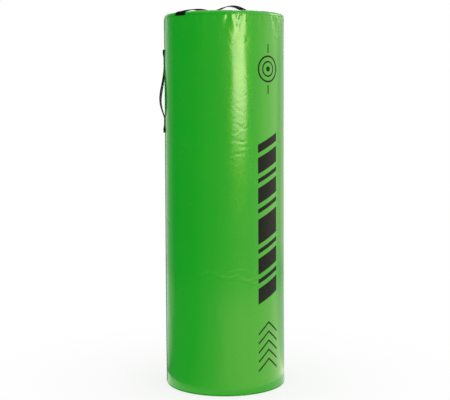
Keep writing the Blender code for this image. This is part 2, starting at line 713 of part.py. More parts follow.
def make_teeth(name, side, first_place, material):
    """One row of teeth: a comb of necks and heads on a spine, which mesh with the other row's."""
    outline = []

    def point(place, across):
        outline.append((place, PAN_CENTRE + side * across))

    spine_inside = SPINE_EDGE - SPINE_WIDTH
    point(CHAIN_START, SPINE_EDGE)
    point(CHAIN_START, spine_inside)
    for count in range(TOOTH_COUNT):
        middle = CHAIN_START + first_place + count * TOOTH_PITCH
        flank = [
            (NECK_WIDTH / 2, spine_inside),
            (HEAD_WIDTH / 2, -TOOTH_REACH * TOOTH_HEAD_SHARE),
            (HEAD_TIP_WIDTH / 2, -TOOTH_REACH),
        ]
        for half_width, across in flank:
            point(middle - half_width, across)
        for half_width, across in reversed(flank):
            point(middle + half_width, across)
    point(CHAIN_START + CHAIN_LENGTH, spine_inside)
    point(CHAIN_START + CHAIN_LENGTH, SPINE_EDGE)
    return extruded(name, outline, CHAIN_BOTTOM, CHAIN_TOP, material)


def make_stops(material):
    """The stop across both rows at one end, and the stop on each tape at the other."""
    box(
        "zip_bottom_stop",
        (BOTTOM_STOP_END - STOP_LENGTH, PAN_CENTRE - SPINE_EDGE, CHAIN_BOTTOM),
        (BOTTOM_STOP_END, PAN_CENTRE + SPINE_EDGE, CHAIN_TOP),
        material,
    )
    inside = SPINE_EDGE - 2 * SPINE_WIDTH
    for part, side in (("front", -1), ("rear", 1)):
        edges = sorted((PAN_CENTRE + side * inside, PAN_CENTRE + side * SPINE_EDGE))
        box(
            "zip_top_stop_" + part,
            (TOP_STOP_START, edges[0], CHAIN_BOTTOM),
            (TOP_STOP_START + STOP_LENGTH, edges[1], CHAIN_TOP),
            material,
        )


def round_bar(name, radius, half_width, place, height):
    """A bar across the zip."""
    outline = arc((place, height), radius, 0, 2 * math.pi, 4 * ARC_STEPS)[:-1]
    return extruded(name, outline, -half_width, half_width, along="Y")


def slider_plate_outline():
    """Plan of a slider's plate, wide at the nose and narrow at the tail, with round corners."""
    nose = SLIDER_NOSE_WIDTH / 2
    tail = SLIDER_TAIL_WIDTH / 2
    waist = SLIDER_LENGTH * SLIDER_WAIST_SHARE
    tail_round = arc((-SLIDER_LENGTH + tail, 0), tail, math.pi / 2, 3 * math.pi / 2, 2 * ARC_STEPS)
    return [(-SLIDER_PLATE, nose), (-waist + tail, nose)] + tail_round + [
        (-waist + tail, -nose), (-SLIDER_PLATE, -nose), (0, -nose + SLIDER_PLATE), (0, nose - SLIDER_PLATE),
    ]


def make_slider(axis, material):
    """The slider: two plates, the post that parts the rows, four rails, and the ears and pin for the pull.

    Its own places are measured along the zip from its nose and across from the chain's middle.
    """
    plate = slider_plate_outline()
    slider = extruded("zip_slider", plate, LOWER_PLATE_BOTTOM, LOWER_PLATE_TOP, material)
    pieces = [extruded("slider_upper_plate", plate, UPPER_PLATE_BOTTOM, UPPER_PLATE_TOP)]
    post = [
        (-JOIN_OVERLAP, 0),
        (-JOIN_OVERLAP - POST_LENGTH / 2, POST_WIDTH / 2),
        (-JOIN_OVERLAP - POST_LENGTH, 0),
        (-JOIN_OVERLAP - POST_LENGTH / 2, -POST_WIDTH / 2),
    ]
    pieces.append(
        extruded("slider_post", post, LOWER_PLATE_TOP - JOIN_OVERLAP, UPPER_PLATE_BOTTOM + JOIN_OVERLAP)
    )
    rail_start = -SLIDER_LENGTH + SLIDER_TAIL_WIDTH / 2
    rail_end = -SLIDER_PLATE
    for part, side in (("front", -1), ("rear", 1)):
        edges = sorted((side * SLIDER_RAIL_INSIDE, side * SLIDER_RAIL_OUTSIDE))
        pieces.append(box(
            "slider_lower_rail_" + part,
            (rail_start, edges[0], LOWER_PLATE_TOP - JOIN_OVERLAP),
            (rail_end, edges[1], TAPE_BOTTOM - GAP),
        ))
        pieces.append(box(
            "slider_upper_rail_" + part,
            (rail_start, edges[0], TAPE_TOP + GAP),
            (rail_end, edges[1], UPPER_PLATE_BOTTOM + JOIN_OVERLAP),
        ))
        ears = sorted((side * EAR_INSIDE, side * (EAR_INSIDE + EAR_WIDTH)))
        ear = arc((PIN_REACH, PIN_HEIGHT), 2 * PIN_RADIUS, -math.pi / 2, math.pi / 2, 2 * ARC_STEPS)
        ear += [(-SLIDER_PLATE, LOWER_PLATE_TOP - JOIN_OVERLAP), (-SLIDER_PLATE, LOWER_PLATE_BOTTOM)]
        pieces.append(extruded("slider_ear_" + part, ear, ears[0], ears[1], along="Y"))
    pieces.append(round_bar("slider_pin", PIN_RADIUS, EAR_INSIDE + JOIN_OVERLAP, PIN_REACH, PIN_HEIGHT))
    for piece in [slider] + pieces:
        piece.parent = axis
    for piece in pieces:
        apply_shape(slider, piece, "UNION")
    return slider


def make_pull(axis, material):
    """The pull tab: a tapered plate with a round eye that turns on the slider's pin."""
    low = PULL_BOTTOM - PIN_HEIGHT
    narrow = EYE_WIDTH / 2
    wide = PULL_WIDTH / 2
    tip = arc((-PULL_LENGTH + wide, 0), wide, math.pi / 2, 3 * math.pi / 2, 2 * ARC_STEPS)
    outline = [(0, narrow), (-EYE_RADIUS - PULL_THICKNESS, narrow)] + tip
    outline += [(-EYE_RADIUS - PULL_THICKNESS, -narrow), (0, -narrow)]
    pull = extruded("zip_pull", outline, low, low + PULL_THICKNESS, material)
    eye = round_bar("pull_eye", EYE_RADIUS, narrow, 0, 0)
    bore = round_bar("pull_bore", EYE_BORE, narrow + OVERRUN, 0, 0)
    finger_hole = extruded(
        "pull_finger_hole",
        rounded_rectangle(
            (-PULL_LENGTH * FINGER_HOLE_PLACE_SHARE, 0), PULL_LENGTH * FINGER_HOLE_LENGTH_SHARE,
            PULL_WIDTH * FINGER_HOLE_WIDTH_SHARE, PULL_WIDTH * FINGER_HOLE_WIDTH_SHARE / 2,
        ),
        low - OVERRUN, low + PULL_THICKNESS + OVERRUN,
    )
    for piece in (pull, eye, bore, finger_hole):
        piece.parent = axis
    apply_shape(pull, eye, "UNION")
    apply_shape(pull, bore, "DIFFERENCE")
    apply_shape(pull, finger_hole, "DIFFERENCE")
    return pull


def make_flap(axis, flap_material, hook_material):
    """The storm flap with its hook strip, placed from the fold that it turns about."""
    half = FLAP_THICKNESS / 2
    reach = FLAP_FREE_PLACE - FLAP_HINGE_PLACE
    fold = arc((0, 0), half, math.pi / 2, 3 * math.pi / 2, 2 * ARC_STEPS)
    flap = extruded(
        "storm_flap", fold + [(reach, -half), (reach, half)],
        -FLAP_LENGTH / 2, FLAP_LENGTH / 2, flap_material, along="X",
    )
    hook_half_length = FLAP_LENGTH / 2 - HOOK_END_MARGIN
    hook = box(
        "hook_strip",
        (-hook_half_length, HOOK_NEAR_PLACE - FLAP_HINGE_PLACE, HOOK_BOTTOM - FLAP_HINGE_HEIGHT),
        (hook_half_length, HOOK_FAR_PLACE - FLAP_HINGE_PLACE, HOOK_TOP - FLAP_HINGE_HEIGHT),
        hook_material,
    )
    flap.parent = axis
    hook.parent = axis


def make_hem_and_loop(hem_material, loop_material):
    """The sewn hem that carries the flap, and the loop strip on the pan's roof."""
    half = FLAP_THICKNESS / 2
    roof = PAN_DEPTH - GAP
    left = FLAP_HINGE_PLACE - half
    section = [
        (left, FLAP_TOP + GAP), (left + FLAP_THICKNESS, FLAP_TOP + GAP),
        (left + FLAP_THICKNESS, roof - FLAP_THICKNESS), (left + HEM_WIDTH, roof - FLAP_THICKNESS),
        (left + HEM_WIDTH, roof), (left, roof),
    ]
    extruded("flap_hem", section, -FLAP_LENGTH / 2, FLAP_LENGTH / 2, hem_material, along="X")
    loop_half_length = FLAP_LENGTH / 2 - HOOK_END_MARGIN
    box(
        "loop_strip",
        (-loop_half_length, HOOK_NEAR_PLACE, LOOP_BOTTOM),
        (loop_half_length, HOOK_FAR_PLACE, LOOP_TOP),
        loop_material,
    )


def build():
    """Build the whole bag."""
    clear_scene()
    cover = make_material("cover_pvc", GREEN_PVC, 0.28)
    base = make_material("base_pvc", GREEN_PVC, 0.40)
    backing = make_material("backing", BACKING_GREY, 0.85)
    webbing = make_material("webbing", BLACK_WEBBING, 0.75)
    binding = make_material("binding", BINDING_BLACK, 0.80)
    core_foam = make_material("core_foam", CORE_FOAM, 0.95)
    soft_foam = make_material("soft_foam", SOFT_FOAM, 0.95)
    tape = make_material("zip_tape", TAPE_BLACK, 0.85)
    teeth = make_material("zip_teeth", TEETH_BLACK, 0.40)
    metal = make_material("slider_metal", SLIDER_METAL, 0.35, metallic=1.0)
    hook_and_loop = make_material("hook_and_loop", HOOK_BLACK, 0.90)

    make_side_panel(cover)
    make_top_panel(cover)
    make_base_panel(base)
    make_binding("top_seam_binding", TOP_SEAM_HEIGHT, COVER_SHEET, COVER_SHEET, binding)
    make_binding("base_seam_binding", BASE_SEAM_HEIGHT, BASE_SHEET, COVER_SHEET, binding)

    make_side_handle(webbing)
    make_top_handle(webbing)
    make_top_patch("top_handle_front_patch", TOP_FRONT_TACK, 0, backing)
    make_top_patch("top_handle_rear_patch", TOP_REAR_TACK, 0, backing)
    for part, middle in zip(("upper", "lower"), side_patch_heights()):
        make_side_patch("side_handle_" + part + "_patch", middle, 0, backing)

    make_filling(core_foam, soft_foam)

    for part, side in (("front", -1), ("rear", 1)):
        make_tape("zip_tape_" + part, side, tape)
        make_teeth("zip_teeth_" + part, side, TOOTH_PITCH * TOOTH_PHASE_SHARES[part], teeth)
    make_stops(teeth)
    slider_axis = make_axis("slider_axis", (SLIDER_NOSE, PAN_CENTRE, 0))
    make_slider(slider_axis, metal)
    pull_axis = make_axis("pull_axis", (PIN_REACH, 0, PIN_HEIGHT), slider_axis)
    make_pull(pull_axis, metal)

    make_hem_and_loop(base, hook_and_loop)
    flap_axis = make_axis("flap_axis", (0, FLAP_HINGE_PLACE, FLAP_HINGE_HEIGHT))
    make_flap(flap_axis, base, hook_and_loop)


build()
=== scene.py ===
"""Tackling bag: a glossy green PVC cover over foam, with black webbing handles and a zipped base.

Metres, +Z up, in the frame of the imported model. The photograph looks along +Y, so -Y is the front, +X is
on the right and the side handle is on the left at -X. An azimuth is counted from +X towards +Y.
"""

import math

import bmesh
import bpy
import numpy as np
from mathutils import Matrix, Vector
from mathutils.geometry import delaunay_2d_cdt


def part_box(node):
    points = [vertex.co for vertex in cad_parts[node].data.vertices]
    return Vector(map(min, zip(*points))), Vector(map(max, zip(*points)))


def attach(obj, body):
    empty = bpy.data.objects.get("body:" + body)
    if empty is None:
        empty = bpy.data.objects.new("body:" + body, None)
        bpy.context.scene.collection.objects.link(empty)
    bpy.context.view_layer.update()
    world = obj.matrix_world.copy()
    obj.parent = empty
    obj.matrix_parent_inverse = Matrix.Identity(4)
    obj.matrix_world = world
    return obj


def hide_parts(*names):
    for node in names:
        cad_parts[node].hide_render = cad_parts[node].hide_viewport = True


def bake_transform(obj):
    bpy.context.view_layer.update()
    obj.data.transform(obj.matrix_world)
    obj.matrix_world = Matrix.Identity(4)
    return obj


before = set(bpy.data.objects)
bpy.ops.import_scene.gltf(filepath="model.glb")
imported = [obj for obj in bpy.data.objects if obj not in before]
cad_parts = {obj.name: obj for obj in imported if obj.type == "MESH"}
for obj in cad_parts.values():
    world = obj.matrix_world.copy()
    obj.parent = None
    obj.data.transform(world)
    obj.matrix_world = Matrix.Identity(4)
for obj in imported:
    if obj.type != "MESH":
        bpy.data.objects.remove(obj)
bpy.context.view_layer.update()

# Camera and picture, fitted to the outline of the bag in the photograph
PICTURE_WIDTH = 450
PICTURE_HEIGHT = 400
OPTICAL_AXIS_X = 224.74
OPTICAL_AXIS_Y = 164.92
FOCAL_LENGTH_PIXELS = 1055.5
SENSOR_WIDTH = 36.0
CAMERA_DISTANCE = 4.000
CAMERA_HEIGHT = 1.0888
CAMERA_PITCH = math.radians(3.705)
CAMERA_ROLL = math.radians(-0.289)

# Directions
FRONT = -math.pi / 2
WEST = math.pi
TURN = 2 * math.pi

# Cover, sizes that the frame doesn't give
SHOULDER_RADIUS = 0.012
DOME_RISE = 0.004
BASE_CORNER_RADIUS = 0.003
TURN_RADIUS = 0.0015
TOP_TURN_RADIUS = 0.0007
COVER_SHEET = 0.0010
BASE_SHEET = 0.0012
SEAM_ALLOWANCE = 0.012
CLEARANCE = 0.0003
LAP_START = -0.065
LAP_WIDTH = 0.131
LAP_ROOT = 0.004
LAP_SEAM_INSETS = (0.0032, 0.0115)
LAP_SEAM_ENDS = (0.012, 1.372)
SUPPORT_LOOP = 0.0015
ROUND_COLUMNS = 360
TOP_FIRST_RING = 0.004
TOP_MIDDLE_REACH = 0.170
TOP_BORDER_START = 0.178
SIDE_COLUMNS = 372
SIDE_ROW_SPACINGS = (0.002, 0.0058, 0.0044, 0.0032, 0.0020)

# Webbing
WEBBING_WIDTH = 0.050
WEBBING_THICKNESS = 0.0025
WEBBING_STEP = 0.0019
SIDE_UPPER_TAB = 0.063
SIDE_LOWER_TAB = 0.054
FOLD_LENGTH = 0.018
FOLD_RUN_OUT = 0.012
BOW_SKEW = 1.6
BOW_EASE = 1.4
SIDE_BOW_RISE = 0.0145
SIDE_BOW_TWIST = 0.150
SIDE_BOW_TWIST_SKEW = 0.62
SIDE_BOW_TWIST_EASE = 1.5
SIDE_BOW_SECOND_TWIST = 0.030
SIDE_BOW_CUPPING = 0.9
SIDE_BOW_SWAY = 0.0012
FREE_POWER = 0.7
TOP_HEADING = math.radians(45)
TOP_FRONT_TACK = -0.069
TOP_REAR_TACK = 0.163
TOP_TACK_LENGTH = 0.020
TOP_ARCH_RISE = 0.029
TOP_FRONT_PUFF_RISE = 0.0085
TOP_REAR_PUFF_RISE = 0.0035
ARCH_EASE = 1.1
TOP_ARCH_TWIST = 0.26
TOP_ARCH_CUPPING = 1.1
TOP_RIM_CURVE_START = 0.12
TOP_RIM_CURVE_RUN = 0.08
STRAP_END_SHARE = 0.22
STRAP_END_TAPER = 0.0038
# How far in from its outermost place and how far above the seam each end of the top strap curls under
TOP_STRAP_ENDING = [(0.0021, 0.0), (0.0009, 0.0002), (0.0002, 0.0009)]
SEAM_HALF_SHARE = 0.80
TAB_SEAM_OUTER = 0.006
TAB_SEAM_INNER = 0.005
TAB_SEAM_EXTRA = 0.008
TACK_SEAM_INSET = 0.0015
TACK_SEAM_EXTRA = 0.002

# Base
PAN_CENTRE = 0.050
PAN_LENGTH = 0.322
PAN_WIDTH = 0.080
PAN_DEPTH = 0.008
PAN_WALL_RUN = 0.003
PAN_CORNER_RADIUS = 0.012
SLOT_LENGTH = 0.297
SLOT_WIDTH = 0.0181
FLAP_THICKNESS = 0.0012
# How much of its CAD thickness a flat strip has
STRIP_SHARE = 0.92
FLAP_FOLD_RADIUS = 0.0009
FLAP_EDGE_SEAM_INSET = 0.0022
FLAP_SEAM_DROP = 0.00005
HEM_SEAM_INSETS = (0.0085, 0.0115)
SLOT_SEAM_MARGINS = (0.0022, 0.0062)
BROKEN_EDGE = 0.00018

# Foam, and the tapes and patches inside the cover
FOAM_GAP = 0.0004
FOAM_UNDER_COVER = 0.0030
SLEEVE_SLIT = 0.0012
PAD_UNDER_COVER = 0.0042
PAD_EDGE = 0.004
CROWN_UNDER_DOME = 0.0032
CROWN_REACH = 0.196
SEAM_HOLLOW = 0.0150
POCKET_MARGIN = 0.0020
POCKET_HEIGHT = 0.0137
# Under the base pad's rim: how far in from the cover its steps lie, and their heights
BASE_PAD_STEPS = [(0.0145, 0.0076), (0.0070, 0.0082), (PAD_UNDER_COVER, 0.0110)]
BINDING_THICKNESS = 0.0006
BINDING_FOLD = 0.0077
PATCH_THICKNESS = 0.0009
TOP_PATCH_DEPTH = 0.0012
TOP_PATCH_HALF = 0.0315
SIDE_PATCH_DEPTH = 0.0013
SIDE_PATCH_HALF_ANGLE = 7.4

# Thread
THREAD_RADIUS = 0.00042
STITCH_LENGTH = 0.0030
STITCH_GAP = 0.0009
THREAD_SIDES = 6
# Along one stitch: how far its middle stands out, and its half girth, as shares of the thread's radius
STITCH_RISE = np.array([-0.6, 0.35, 0.6, 0.35, -0.6])
STITCH_GIRTH = np.array([0.55, 0.95, 1.0, 0.95, 0.55])
STITCH_RINGS = len(STITCH_RISE)

# Sizes that the frame gives
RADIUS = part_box("top_panel")[1].x
BAG_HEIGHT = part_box("top_panel")[1].z
TOP_SEAM = (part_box("top_panel")[0].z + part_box("side_panel")[1].z) / 2
BASE_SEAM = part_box("side_panel")[0].z - CLEARANCE / 2
LAP_RISE = COVER_SHEET + CLEARANCE
LAP_RADIUS = RADIUS + LAP_RISE
ALLOWANCE_EDGE = RADIUS - SEAM_ALLOWANCE
SHOULDER_CENTRE_RADIUS = RADIUS - SHOULDER_RADIUS
DOME_RADIUS = SHOULDER_RADIUS + (SHOULDER_CENTRE_RADIUS ** 2 + DOME_RISE ** 2) / (2 * DOME_RISE)
DOME_CENTRE = BAG_HEIGHT - DOME_RADIUS
SHOULDER_CENTRE_HEIGHT = DOME_CENTRE + math.sqrt(
    (DOME_RADIUS - SHOULDER_RADIUS) ** 2 - SHOULDER_CENTRE_RADIUS ** 2)
SHOULDER_CENTRE = (SHOULDER_CENTRE_RADIUS, SHOULDER_CENTRE_HEIGHT)
SHOULDER_ANGLE = math.atan2(SHOULDER_CENTRE_HEIGHT - DOME_CENTRE, SHOULDER_CENTRE_RADIUS)

rng = np.random.default_rng(20)


# Mesh helpers

def ease(share):
    """A soft step from 0 to 1."""
    share = np.clip(share, 0.0, 1.0)
    return share * share * (3 - 2 * share)


def arc(centre, radius, start, end, steps):
    """Points along an arc between two angles, both ends included."""
    angles = np.linspace(start, end, steps + 1)
    return np.stack([centre[0] + radius * np.cos(angles), centre[1] + radius * np.sin(angles)], axis=1)


def polar(radius, azimuth, height):
    """Points from radii, azimuths and heights, each a number, a row or a grid."""
    return np.stack(np.broadcast_arrays(radius * np.cos(azimuth), radius * np.sin(azimuth), height), axis=-1)


def ring_angles(count):
    """Azimuths evenly round a turn."""
    return TURN * np.arange(count) / count


def ring(radius, count):
    """Points of a circle in the plane."""
    return polar(radius, ring_angles(count), 0.0)[:, :2]


def stacked_rings(profile, count):
    """Rings of points at the radii and heights of a profile, row by row."""
    radius, height = np.asarray(profile, dtype=float).T[:, :, None]
    return polar(radius, ring_angles(count), height)


def at_height(points, height):
    """Points of a plane at a height."""
    return np.column_stack([points, np.full(len(points), height)])


def dome_height(radius, under=0.0):
    """Height of the dome, or of a surface under it, at a distance from the bag's axis."""
    return DOME_CENTRE + np.sqrt((DOME_RADIUS - under) ** 2 - radius ** 2)


def unit(vectors):
    """The same directions with a length of 1."""
    return vectors / np.maximum(np.linalg.norm(vectors, axis=-1, keepdims=True), 1e-12)


def outward(profile):
    """The way out of a profile of radius and height that runs up the bag."""
    step = np.gradient(profile, axis=0)
    return unit(np.stack([step[:, 1], -step[:, 0]], axis=1))


def travelled(points):
    """How far along a line each of its points lies; for a grid, the mean of its columns."""
    steps = np.linalg.norm(np.diff(points, axis=0), axis=-1)
    return np.concatenate([[0], np.cumsum(steps.reshape(len(steps), -1).mean(axis=1))])


def line_length(points):
    """The length of a line through points."""
    return float(travelled(points)[-1])


def read_off(values, places, wanted):
    """Rows of values at wanted places, from those at known places."""
    return np.stack([np.interp(wanted, places, column) for column in values.T], axis=-1)


def resample(points, spacing):
    """The same line with points at an even spacing."""
    points = np.asarray(points, dtype=float)
    places = travelled(points)
    count = max(2, int(round(places[-1] / spacing)) + 1)
    return read_off(points, places, np.linspace(0, places[-1], count))


def rounded_line(points, rounds=2):
    """The same line with its corners softened by averaging each point with its neighbours."""
    points = np.array(points, dtype=float)
    for _ in range(rounds):
        points[1:-1] = (points[:-2] + 2 * points[1:-1] + points[2:]) / 4
    return points


def build_mesh(name, vertices, faces, uv=None, material=None, sharp_angle=40):
    """A smooth-shaded mesh object from points and faces, with one UV place for each point."""
    mesh = bpy.data.meshes.new(name)
    vertices = np.asarray(vertices).reshape(-1, 3)
    mesh.from_pydata([tuple(point) for point in vertices], [], [tuple(face) for face in faces])
    if uv is not None:
        layer = mesh.uv_layers.new(name="flat")
        corners = np.zeros(len(mesh.loops), dtype=np.int32)
        mesh.loops.foreach_get("vertex_index", corners)
        uv = np.asarray(uv, dtype=np.float32).reshape(-1, 2)
        layer.data.foreach_set("uv", uv[corners].ravel())
    if material:
        mesh.materials.append(material)
    mesh.shade_smooth()
    mesh.set_sharp_from_angle(angle=math.radians(sharp_angle))
    made = bpy.data.objects.new(name, mesh)
    bpy.context.scene.collection.objects.link(made)
    return made


def grid_faces(rows, columns, wrap_rows=False, wrap_columns=False):
    """Faces of a grid of points that are numbered row by row."""
    row_count = rows if wrap_rows else rows - 1
    column_count = columns if wrap_columns else columns - 1
    row = np.repeat(np.arange(row_count), column_count)
    column = np.tile(np.arange(column_count), row_count)
    next_row = (row + 1) % rows * columns
    next_column = (column + 1) % columns
    row = row * columns
    return np.stack([row + column, row + next_column, next_row + next_column, next_row + column], axis=1)


def surface_normals(middle, closed=False):
    """Normals of a grid of points, from the steps along its rows and columns."""
    along = np.gradient(middle, axis=0)
    if closed:
        along = np.gradient(np.concatenate([middle[-1:], middle, middle[:1]]), axis=0)[1:-1]
    return unit(np.cross(np.gradient(middle, axis=1), along))


def thick_sheet(name, middle, thickness, material, edge_shares=1.0, end_shares=1.0, closed=False):
    """A closed sheet round a grid of middle points, thinner at its edges and ends where shares say so."""
    rows, columns = middle.shape[:2]
    count = rows * columns
    shares = np.broadcast_to(end_shares, rows)[:, None] * np.broadcast_to(edge_shares, columns)
    half = surface_normals(middle, closed) * (thickness / 2 * shares)[:, :, None]
    top = grid_faces(rows, columns, wrap_rows=closed)
    number = np.arange(count).reshape(rows, columns)
    rims = [number[:, 0], number[::-1, -1]]
    if not closed:
        rims = [np.concatenate([number[:, 0], number[-1, 1:-1], number[::-1, -1], number[0, -2:0:-1]])]
    walls = [np.stack([rim, np.roll(rim, -1), np.roll(rim, -1) + count, rim + count], axis=1) for rim in rims]
    faces = np.concatenate([top, top[:, ::-1] + count] + walls)
    uv = np.stack(np.meshgrid(travelled(middle.swapaxes(0, 1)), travelled(middle)), axis=2)
    return build_mesh(name, [middle + half, middle - half], faces, [uv, uv], material)


def turned(name, loop, material, start=0.0, sweep=TURN, steps=120):
    """A closed outline of radius and height, turned about the bag's axis, and capped if it isn't full."""
    full = abs(sweep - TURN) < 1e-6
    angles = start + np.linspace(0, sweep, steps + 1)[:-1 if full else None, None]
    rows, columns = len(angles), len(loop)
    faces = list(grid_faces(rows, columns, wrap_rows=full, wrap_columns=True))
    if not full:
        faces += [range(columns)[::-1], range((rows - 1) * columns, rows * columns)]
    uv = np.stack(np.broadcast_arrays(angles * loop[:, 0].max(), travelled(loop)), axis=-1)
    made = build_mesh(name, polar(loop[:, 0], angles, loop[:, 1]), faces, uv, material)
    merge_points(made)
    return made


def merge_points(piece, turn_out=True):
    """Join points that lie in the same place, and unless told otherwise turn every face outward."""
    work = bmesh.new()
    work.from_mesh(piece.data)
    bmesh.ops.remove_doubles(work, verts=work.verts, dist=0.00001)
    if turn_out:
        bmesh.ops.dissolve_degenerate(work, edges=work.edges, dist=0.00001)
        bmesh.ops.recalc_face_normals(work, faces=work.faces)
    work.to_mesh(piece.data)
    work.free()


def join_parts(parts):
    """One list of points and one of faces from several parts."""
    points, faces = np.zeros((0, 3)), []
    for part_points, part_faces in parts:
        faces += [[int(corner) + len(points) for corner in face] for face in part_faces]
        points = np.vstack([points, np.reshape(part_points, (-1, 3))])
    return points, faces


def give_thickness(piece, thickness):
    """Turn an outer face into a closed sheet that lies inside it."""
    modifier = piece.modifiers.new("sheet", "SOLIDIFY")
    modifier.thickness = thickness
    modifier.offset = -1.0


def dress(piece, body, slot, *replaced, fill=None):
    """Let a piece ride on a body and stand for CAD nodes; slot and fill are not used."""
    if replaced:
        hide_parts(*replaced)
    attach(piece, body)


def cut_cloth(width, length, share=1.0):
    """Work out the area of a cloth piece's cut, which is then not used; share is how much of that rectangle a
    round cut fills.
    """
    area = None if share == 1.0 else share * width * length


# Relief of the cover: hollows and folds, as distances out from a true cylinder

# Creases that the photograph shows: degrees right of the front, height, length, half width, depth, tilt, bow
SEEN_CREASES = [
    (-37.0, 0.470, 0.060, 0.0050, 0.00055, -14, 0.0),
    (-23.0, 0.437, 0.070, 0.0055, 0.00050, 3, 1.2),
    (-14.0, 0.452, 0.095, 0.0060, 0.00065, -5, -0.8),
    (4.0, 0.433, 0.080, 0.0055, 0.00060, 6, 0.8),
    (13.0, 0.460, 0.085, 0.0050, 0.00060, 1, -0.6),
    (20.0, 0.420, 0.090, 0.0060, 0.00055, -8, 0.9),
    (33.0, 0.405, 0.070, 0.0060, 0.00045, -5, 0.0),
    (12.0, 0.066, 0.065, 0.0045, 0.00070, -4, 0.5),
    (22.0, 0.052, 0.050, 0.0050, 0.00045, 9, 0.0),
    (-70.0, 0.628, 0.050, 0.0050, 0.00110, -28, 0.0),
    (-76.0, 0.505, 0.040, 0.0045, 0.00090, 8, 0.0),
    (9.0, 1.160, 0.034, 0.0045, 0.00022, 4, 0.0),
    (14.0, 1.085, 0.040, 0.0042, 0.00026, -12, 1.0),
    (10.0, 1.060, 0.046, 0.0045, 0.00028, 16, 0.0),
    (15.0, 1.036, 0.038, 0.0042, 0.00024, -20, 0.0),
    (8.0, 1.010, 0.042, 0.0045, 0.00026, 10, -1.0),
    (14.0, 0.984, 0.044, 0.0045, 0.00028, -24, 0.0),
    (9.0, 0.957, 0.040, 0.0045, 0.00028, 8, 1.0),
    (14.0, 0.926, 0.036, 0.0048, 0.00028, -12, 0.0),
    (10.0, 0.880, 0.050, 0.0050, 0.00026, 14, 0.0),
]
SMALL_CREASES = 150
FINE_CRINKLES = 34
PUCKERS = 40
# How raised a fold's lips are and how steeply they fade, for puckers and for creases
PUCKER_VALLEY = (0.8, 0.7)
CREASE_VALLEY = (0.9, 0.6)
PUCKER_WIDENING = 0.7
PUCKER_START = 0.0035
PUCKER_FADE_POWER = 1.6
TOP_PUCKER_DEPTH_SHARE = 0.75
TOP_PUCKER_REACH_SHARE = 0.8
# Puckers that catch the light in the photograph: degrees right of the front, half width, reach, depth, lean
SEEN_PUCKERS = [
    (4.0, 0.0060, 0.030, 0.0011, -0.25),
    (9.5, 0.0065, 0.052, 0.0015, 0.30),
    (15.5, 0.0060, 0.060, 0.0015, -0.20),
    (21.0, 0.0055, 0.036, 0.0010, 0.15),
    (51.0, 0.0060, 0.042, 0.0014, 0.35),
    (57.0, 0.0055, 0.055, 0.0016, -0.10),
    (63.0, 0.0060, 0.048, 0.0014, 0.30),
    (70.0, 0.0065, 0.034, 0.0011, -0.25),
]


def with_azimuths(table):
    """Rows that start with degrees right of the front, which are turned into azimuths."""
    return [(FRONT + math.radians(row[0]),) + row[1:] for row in table]


def crease_table():
    """Every crease of the side sheet: those that the photograph shows, and small ones all round."""
    table = with_azimuths(SEEN_CREASES)
    for _ in range(SMALL_CREASES):
        height = rng.uniform(0.05, 1.30)
        table.append((
            rng.uniform(0, TURN), height, rng.uniform(0.025, 0.075), rng.uniform(0.0042, 0.0070),
            rng.uniform(0.00012, 0.00034), rng.normal(0, 22), rng.normal(0, 0.8),
        ))
    for _ in range(FINE_CRINKLES):
        table.append((
            FRONT + math.radians(rng.uniform(1, 25)), rng.uniform(0.84, 1.27), rng.uniform(0.012, 0.026),
            rng.uniform(0.0040, 0.0052), rng.uniform(0.00010, 0.00026), rng.normal(0, 28), 0.0,
        ))
    return table


def pucker_table():
    """Every pucker below the top seam, spread unevenly round it."""
    table = with_azimuths(SEEN_PUCKERS)
    for count in range(PUCKERS):
        table.append((
            TURN * (count + rng.uniform(-0.35, 0.35)) / PUCKERS, rng.uniform(0.0050, 0.0085),
            rng.uniform(0.012, 0.046), rng.uniform(0.00020, 0.0006), rng.normal(0, 0.25),
        ))
    return table


CREASES = crease_table()
PUCKER_LIST = pucker_table()
SWELLS = [(rng.integers(1, 5), rng.uniform(-7, 7), rng.uniform(0, TURN)) for _ in range(9)]
RIPPLES = [(rng.integers(9, 34), rng.uniform(-34, 34), rng.uniform(0, TURN)) for _ in range(16)]
SWELL_DEPTH = 0.00022
RIPPLE_DEPTH = 0.000022
RIM_FLARE = 0.0007
RIM_FLARE_REACH = 0.010
RIM_FLARE_START = 0.0015
# Distances from a seam, or from the top's middle, over which the unevenness sets in
CALM_BELOW_TOP_SEAM = 0.010
CALM_ABOVE_BASE_SEAM = 0.012
CALM_ABOVE_TOP_SEAM = 0.02
CALM_ROUND_MIDDLE = 0.04


def distance_round(azimuth, centre):
    """The short way round the bag from a centre to an azimuth, in metres."""
    return RADIUS * ((azimuth - centre + math.pi) % TURN - math.pi)


def valley(across, lips, steepness):
    """The section of a fold, by half widths from its middle: 1 in the middle, with raised lips."""
    return (1 - lips * across ** 2) * np.exp(-steepness * across ** 2)


def pucker_relief(azimuth, drop, depth_share=1.0, reach_share=1.0):
    """Puckers that start at the top seam, at a distance from the seam."""
    total = np.zeros_like(drop)
    for centre, half_width, reach, depth, lean in PUCKER_LIST:
        reach = reach * reach_share
        side = distance_round(azimuth, centre) - lean * drop
        across = side / (half_width * (1 + PUCKER_WIDENING * drop / reach))
        along = (1 - np.exp(-drop / PUCKER_START)) * np.exp(-((drop / reach) ** PUCKER_FADE_POWER))
        total -= depth * depth_share * valley(across, *PUCKER_VALLEY) * along
    return total


